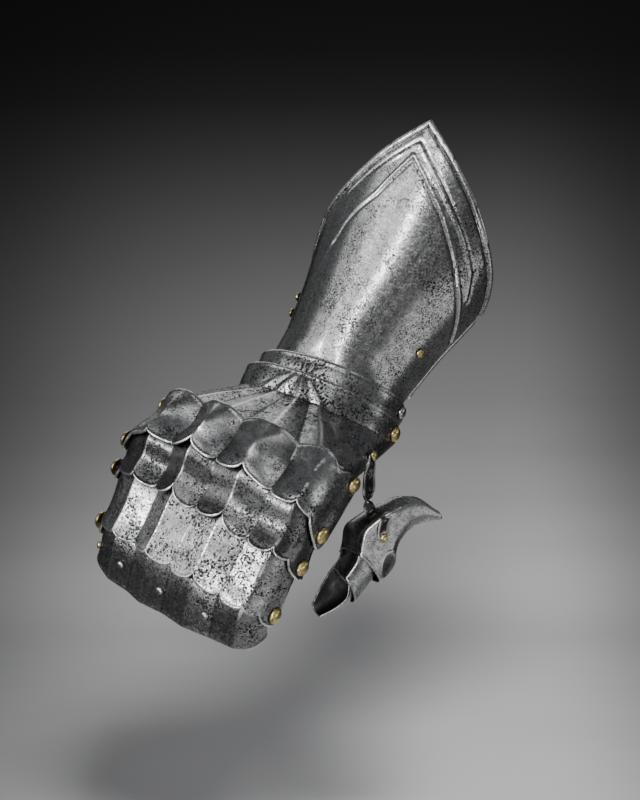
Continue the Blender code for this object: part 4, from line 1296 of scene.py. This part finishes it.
# The upper leaf's line: heights above the hinge, then places across and along the hand back.
UPPER_LEAF_RISES = (3.2, 6.0, 9.5)
UPPER_LEAF_SEATS = ((4.0, 1.72), (3.72, 1.5))
UPPER_LEAF_HALF_WIDTHS = (3.6, 2.2, 2.9, 2.6, 2.2)
UPPER_LEAF_TWISTS = (0.0, 62.0, 78.0, 60.0, 20.0)
UPPER_LEAF_WALL = 1.2


def build_thumb_upper_leaf():
    """The twisted leaf from the barrel up to the hand back, and its rivet."""
    sideways, across, up = np.eye(3) @ ATTITUDE
    centres = [THUMB_HINGE + up * rise for rise in UPPER_LEAF_RISES]
    seat_lift = LEAF_WALL + 3.0 * FIT_GAP
    for seat in UPPER_LEAF_SEATS:
        at, normal = local_frame(hand_back_points, *seat, np.array((200.0, -20.0, -40.0)))
        centres.append(at + normal * seat_lift)
    places = np.arange(len(centres))
    t = np.linspace(0.0, 4.0, 44)
    line = np.stack([np.interp(t, places, column) for column in np.transpose(centres)], -1)
    for _ in range(6):
        line[1:-1] = (line[:-2] + 2.0 * line[1:-1] + line[2:]) / 4.0
    width = np.interp(t, places, UPPER_LEAF_HALF_WIDTHS)
    twist = np.radians(np.interp(t, places, UPPER_LEAF_TWISTS))
    direction = across * np.cos(twist)[:, None] + sideways * np.sin(twist)[:, None]
    s = np.linspace(-1.0, 1.0, 15)
    wave = 0.55 * np.sin(t * 4.2)[:, None] * (1.0 - 0.3 * s ** 2) * smooth(0.2, 0.8, t)[:, None]
    facing = np.cross(direction, up)[:, None]
    grid = line[:, None] + direction[:, None] * (width[:, None] * s)[..., None]
    grid = grid + facing * wave[..., None]
    # Painted highlight along the edges.
    item = shell("thumb_upper_leaf_detailed", grid, grid - facing * 10.0, IRON,
                 0.8 * bump(rim_distance(grid), 0.5), 0.0, UPPER_LEAF_WALL)
    add_piece(item, "hand_back", ["thumb_upper_leaf"])
    item = lathe("thumb_upper_leaf_rivet", dome(0.0, 2.9, 2.0, 8) + [(0.0, 0.0)],
                 at + normal * (seat_lift + 0.1), normal, BRASS, steps=32, wobble=0.02, phase=1.1,
                 shaded_below=CORNER_HEIGHT)
    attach(item, "hand_back")


build_cuff()
build_inner_plate()
build_cuff_hinge()
build_pivots()
build_fingertip_rivets()
build_thumb_plates()
build_thumb_barrel()
build_thumb_lower_leaf()
build_thumb_upper_leaf()
build_wrist_lame()
build_knuckle_plate()
build_hand_back()
# patina=0.66 paints a shade over the whole of the first finger lame.
build_finger_lame("finger_lame_1", "knuckle_plate", FINGER_LAME_1, "finger_1",
                  (2.72, 2.70, 2.45, 2.62, 2.45, 2.72, 2.70),
                  (2.86, 2.93, 2.88, 2.96, 2.90, 3.03, 3.06, 2.90), patina=0.66)
build_finger_lame("finger_lame_2", "finger_lame_1", FINGER_LAME_2, "finger_2",
                  (2.58, 2.52, 2.66, 2.58, 2.52, 2.68, 2.76),
                  (2.70, 2.76, 2.80, 2.86, 2.93, 2.90, 3.0, 2.95))
build_fingertip()


# ---- floor, lights and camera, in metres and degrees

FLOOR_Z = -0.36
FLOOR_HALF_WIDTH = 3.0
FLOOR_FLAT_END = 0.9
SWEEP_RADIUS = 0.7
SWEEP_STEPS = 24
SWEEP_LAST_STEP = 20
SWEEP_FADE = 0.45
# Tones of the painted shade up the sweep: share of the fade height, and brightness.
SWEEP_TONES = ((0.0, 0.95), (0.0104, 0.74), (0.037, 0.54), (0.084, 0.40), (0.150, 0.315),
               (0.236, 0.268), (0.336, 0.215), (0.446, 0.159), (0.563, 0.104), (0.679, 0.058),
               (0.789, 0.021), (0.883, 0.007), (0.955, 0.003), (1.0, 0.002))
MIDDLE = Vector((-0.06, -0.05, -0.05))
CAMERA_ELEVATION = 8.0
CAMERA_DISTANCE = 3.0
SENSOR_WIDTH = 36.0
FRAME_HEIGHT = 0.416
AIM = Vector((-0.0445, -0.040, -0.0652))


def build_stage():
    """A pale floor that sweeps up behind the object into a backdrop darkened by painted shade."""
    profile = [(-FLOOR_HALF_WIDTH, 0.0)]
    for step in range(SWEEP_LAST_STEP + 1):
        turn = 0.5 * math.pi * step / SWEEP_STEPS
        profile.append((FLOOR_FLAT_END + SWEEP_RADIUS * math.sin(turn),
                        SWEEP_RADIUS * (1.0 - math.cos(turn))))
    verts = [(x, y, z + FLOOR_Z) for y, z in profile for x in (-FLOOR_HALF_WIDTH, FLOOR_HALF_WIDTH)]
    faces = [(2 * k, 2 * k + 1, 2 * k + 3, 2 * k + 2) for k in range(len(profile) - 1)]
    m = Nodes("pale_floor")
    tone = m.steps(m.noise(6.0, 3.0, 0.5), 0.3, 0.7)
    pale = m.mix(tone, (0.60, 0.60, 0.61), (0.63, 0.63, 0.635))
    x, z = (m.add("SeparateXYZ", {0: m.coords}, output) for output in (0, 2))
    # Painted shade up the sweep: the tone by height falls from pale on the floor to near black at the
    # top, standing in for the fall-off of the light.
    fade = m.add("ValToRGB", {"Fac": m.steps(z, FLOOR_Z, FLOOR_Z + SWEEP_FADE)}, "Color")
    tones = fade.node.color_ramp.elements
    while len(tones) < len(SWEEP_TONES):
        tones.new(0.5)
    for element, (position, value) in zip(tones, SWEEP_TONES):
        element.position = position
        element.color = (value, value, value, 1.0)
    # Painted pool of light: the tone also falls away to the sides of x = 0.03, and further to the right
    # beyond x = 0.09.
    away = m.math("SUBTRACT", x, 0.03)
    sides = m.steps(m.math("MULTIPLY", away, away), 0.0, 0.12, 1.0, 0.35)
    sides = m.math("MULTIPLY", sides, m.steps(x, 0.09, 0.22, 1.0, 0.45))
    shade = m.math("MULTIPLY", fade, sides)
    material = m.finish({"Base Color": m.mix(shade, (0.004, 0.004, 0.004), pale), "Roughness": 0.8,
                         "Specular IOR Level": 0.1})
    floor = new_object("floor", np.array(verts), faces, material)
    return floor


def floor_collection(name, floor, state):
    """A collection through which a light reaches only the floor, or all but the floor."""
    collection = bpy.data.collections.new(name)
    collection.objects.link(floor)
    collection.collection_objects[0].light_linking.link_state = state
    return collection


def add_softbox(name, azimuth, elevation, width, height, radiance, distance=1.3, spread=180.0,
                receivers=None, aim=None):
    """A soft light seen from the object's middle in a direction, with angular sizes in degrees."""
    light = bpy.data.lights.new(name, "AREA")
    light.shape = "RECTANGLE"
    light.size = 2.0 * distance * math.tan(math.radians(width / 2.0))
    light.size_y = 2.0 * distance * math.tan(math.radians(height / 2.0))
    light.energy = radiance * math.pi * light.size * light.size_y
    light.spread = math.radians(spread)
    item = add_object(name, light)
    a = math.radians(azimuth)
    e = math.radians(elevation)
    way = Vector((math.sin(a) * math.cos(e), -math.cos(a) * math.cos(e), math.sin(e)))
    item.location = MIDDLE + way * distance
    facing = -way if aim is None else Vector(aim) - item.location
    item.rotation_euler = facing.to_track_quat("-Z", "Y").to_euler()
    item.light_linking.receiver_collection = receivers


def build_camera():
    """A long lens at the eye height of the reference view."""
    camera = bpy.data.cameras.new("camera")
    camera.sensor_width = SENSOR_WIDTH
    camera.lens = SENSOR_WIDTH / 2.0 / (FRAME_HEIGHT / 2.0 / CAMERA_DISTANCE)
    item = add_object("camera", camera)
    up = math.radians(CAMERA_ELEVATION)
    back = Vector((0.0, -math.cos(up), math.sin(up)))
    item.location = AIM + back * CAMERA_DISTANCE
    item.rotation_euler = (-back).to_track_quat("-Z", "Y").to_euler()
    bpy.context.scene.camera = item


def build_world():
    """A dim grey surround."""
    world = bpy.data.worlds.new("surround")
    world.use_nodes = True
    background = world.node_tree.nodes["Background"]
    background.inputs["Color"].default_value = (0.5, 0.51, 0.53, 1.0)
    background.inputs["Strength"].default_value = 0.20
    bpy.context.scene.world = world


# Softboxes: name, azimuth, elevation, width and height in degrees, radiance, distance in metres.
SOFTBOXES = (
    ("front_wide", -30.0, 31.0, 80.0, 26.0, 1.5, 1.3),
    ("front_low", -38.0, 5.0, 48.0, 20.0, 1.7, 1.3),
    ("left_core", -60.0, 9.0, 20.0, 15.0, 13.0, 1.3),
    ("front_core", -15.0, 9.0, 3.0, 34.0, 24.0, 1.3),
    ("left_side", -84.0, 16.0, 34.0, 44.0, 1.1, 1.3),
    ("low_left", -26.0, -36.0, 26.0, 20.0, 4.2, 0.45),
    ("low_right", 48.0, -30.0, 60.0, 30.0, 0.75, 0.45),
    ("right_low", 90.0, 4.0, 20.0, 18.0, 1.4, 1.3),
    ("right_high", 48.0, 38.0, 30.0, 24.0, 0.9, 1.3),
    ("left_back", -165.0, 30.0, 30.0, 36.0, 0.7, 1.3),
    ("top_back", 165.0, 62.0, 54.0, 26.0, 0.9, 1.3),
)

floor_object = build_stage()
build_world()
build_camera()
only_floor = floor_collection("lit_floor", floor_object, "INCLUDE")
no_floor = floor_collection("unlit_floor", floor_object, "EXCLUDE")
add_softbox("floor_key", 3.0, 23.0, 8.0, 8.0, 27.0, distance=1.6, spread=38.0, receivers=only_floor,
            aim=(0.08, 0.95, -0.34))
add_softbox("floor_fill", 180.0, 80.0, 60.0, 60.0, 0.9, receivers=only_floor)
for box in SOFTBOXES:
    add_softbox(*box, spread=170.0, receivers=no_floor)
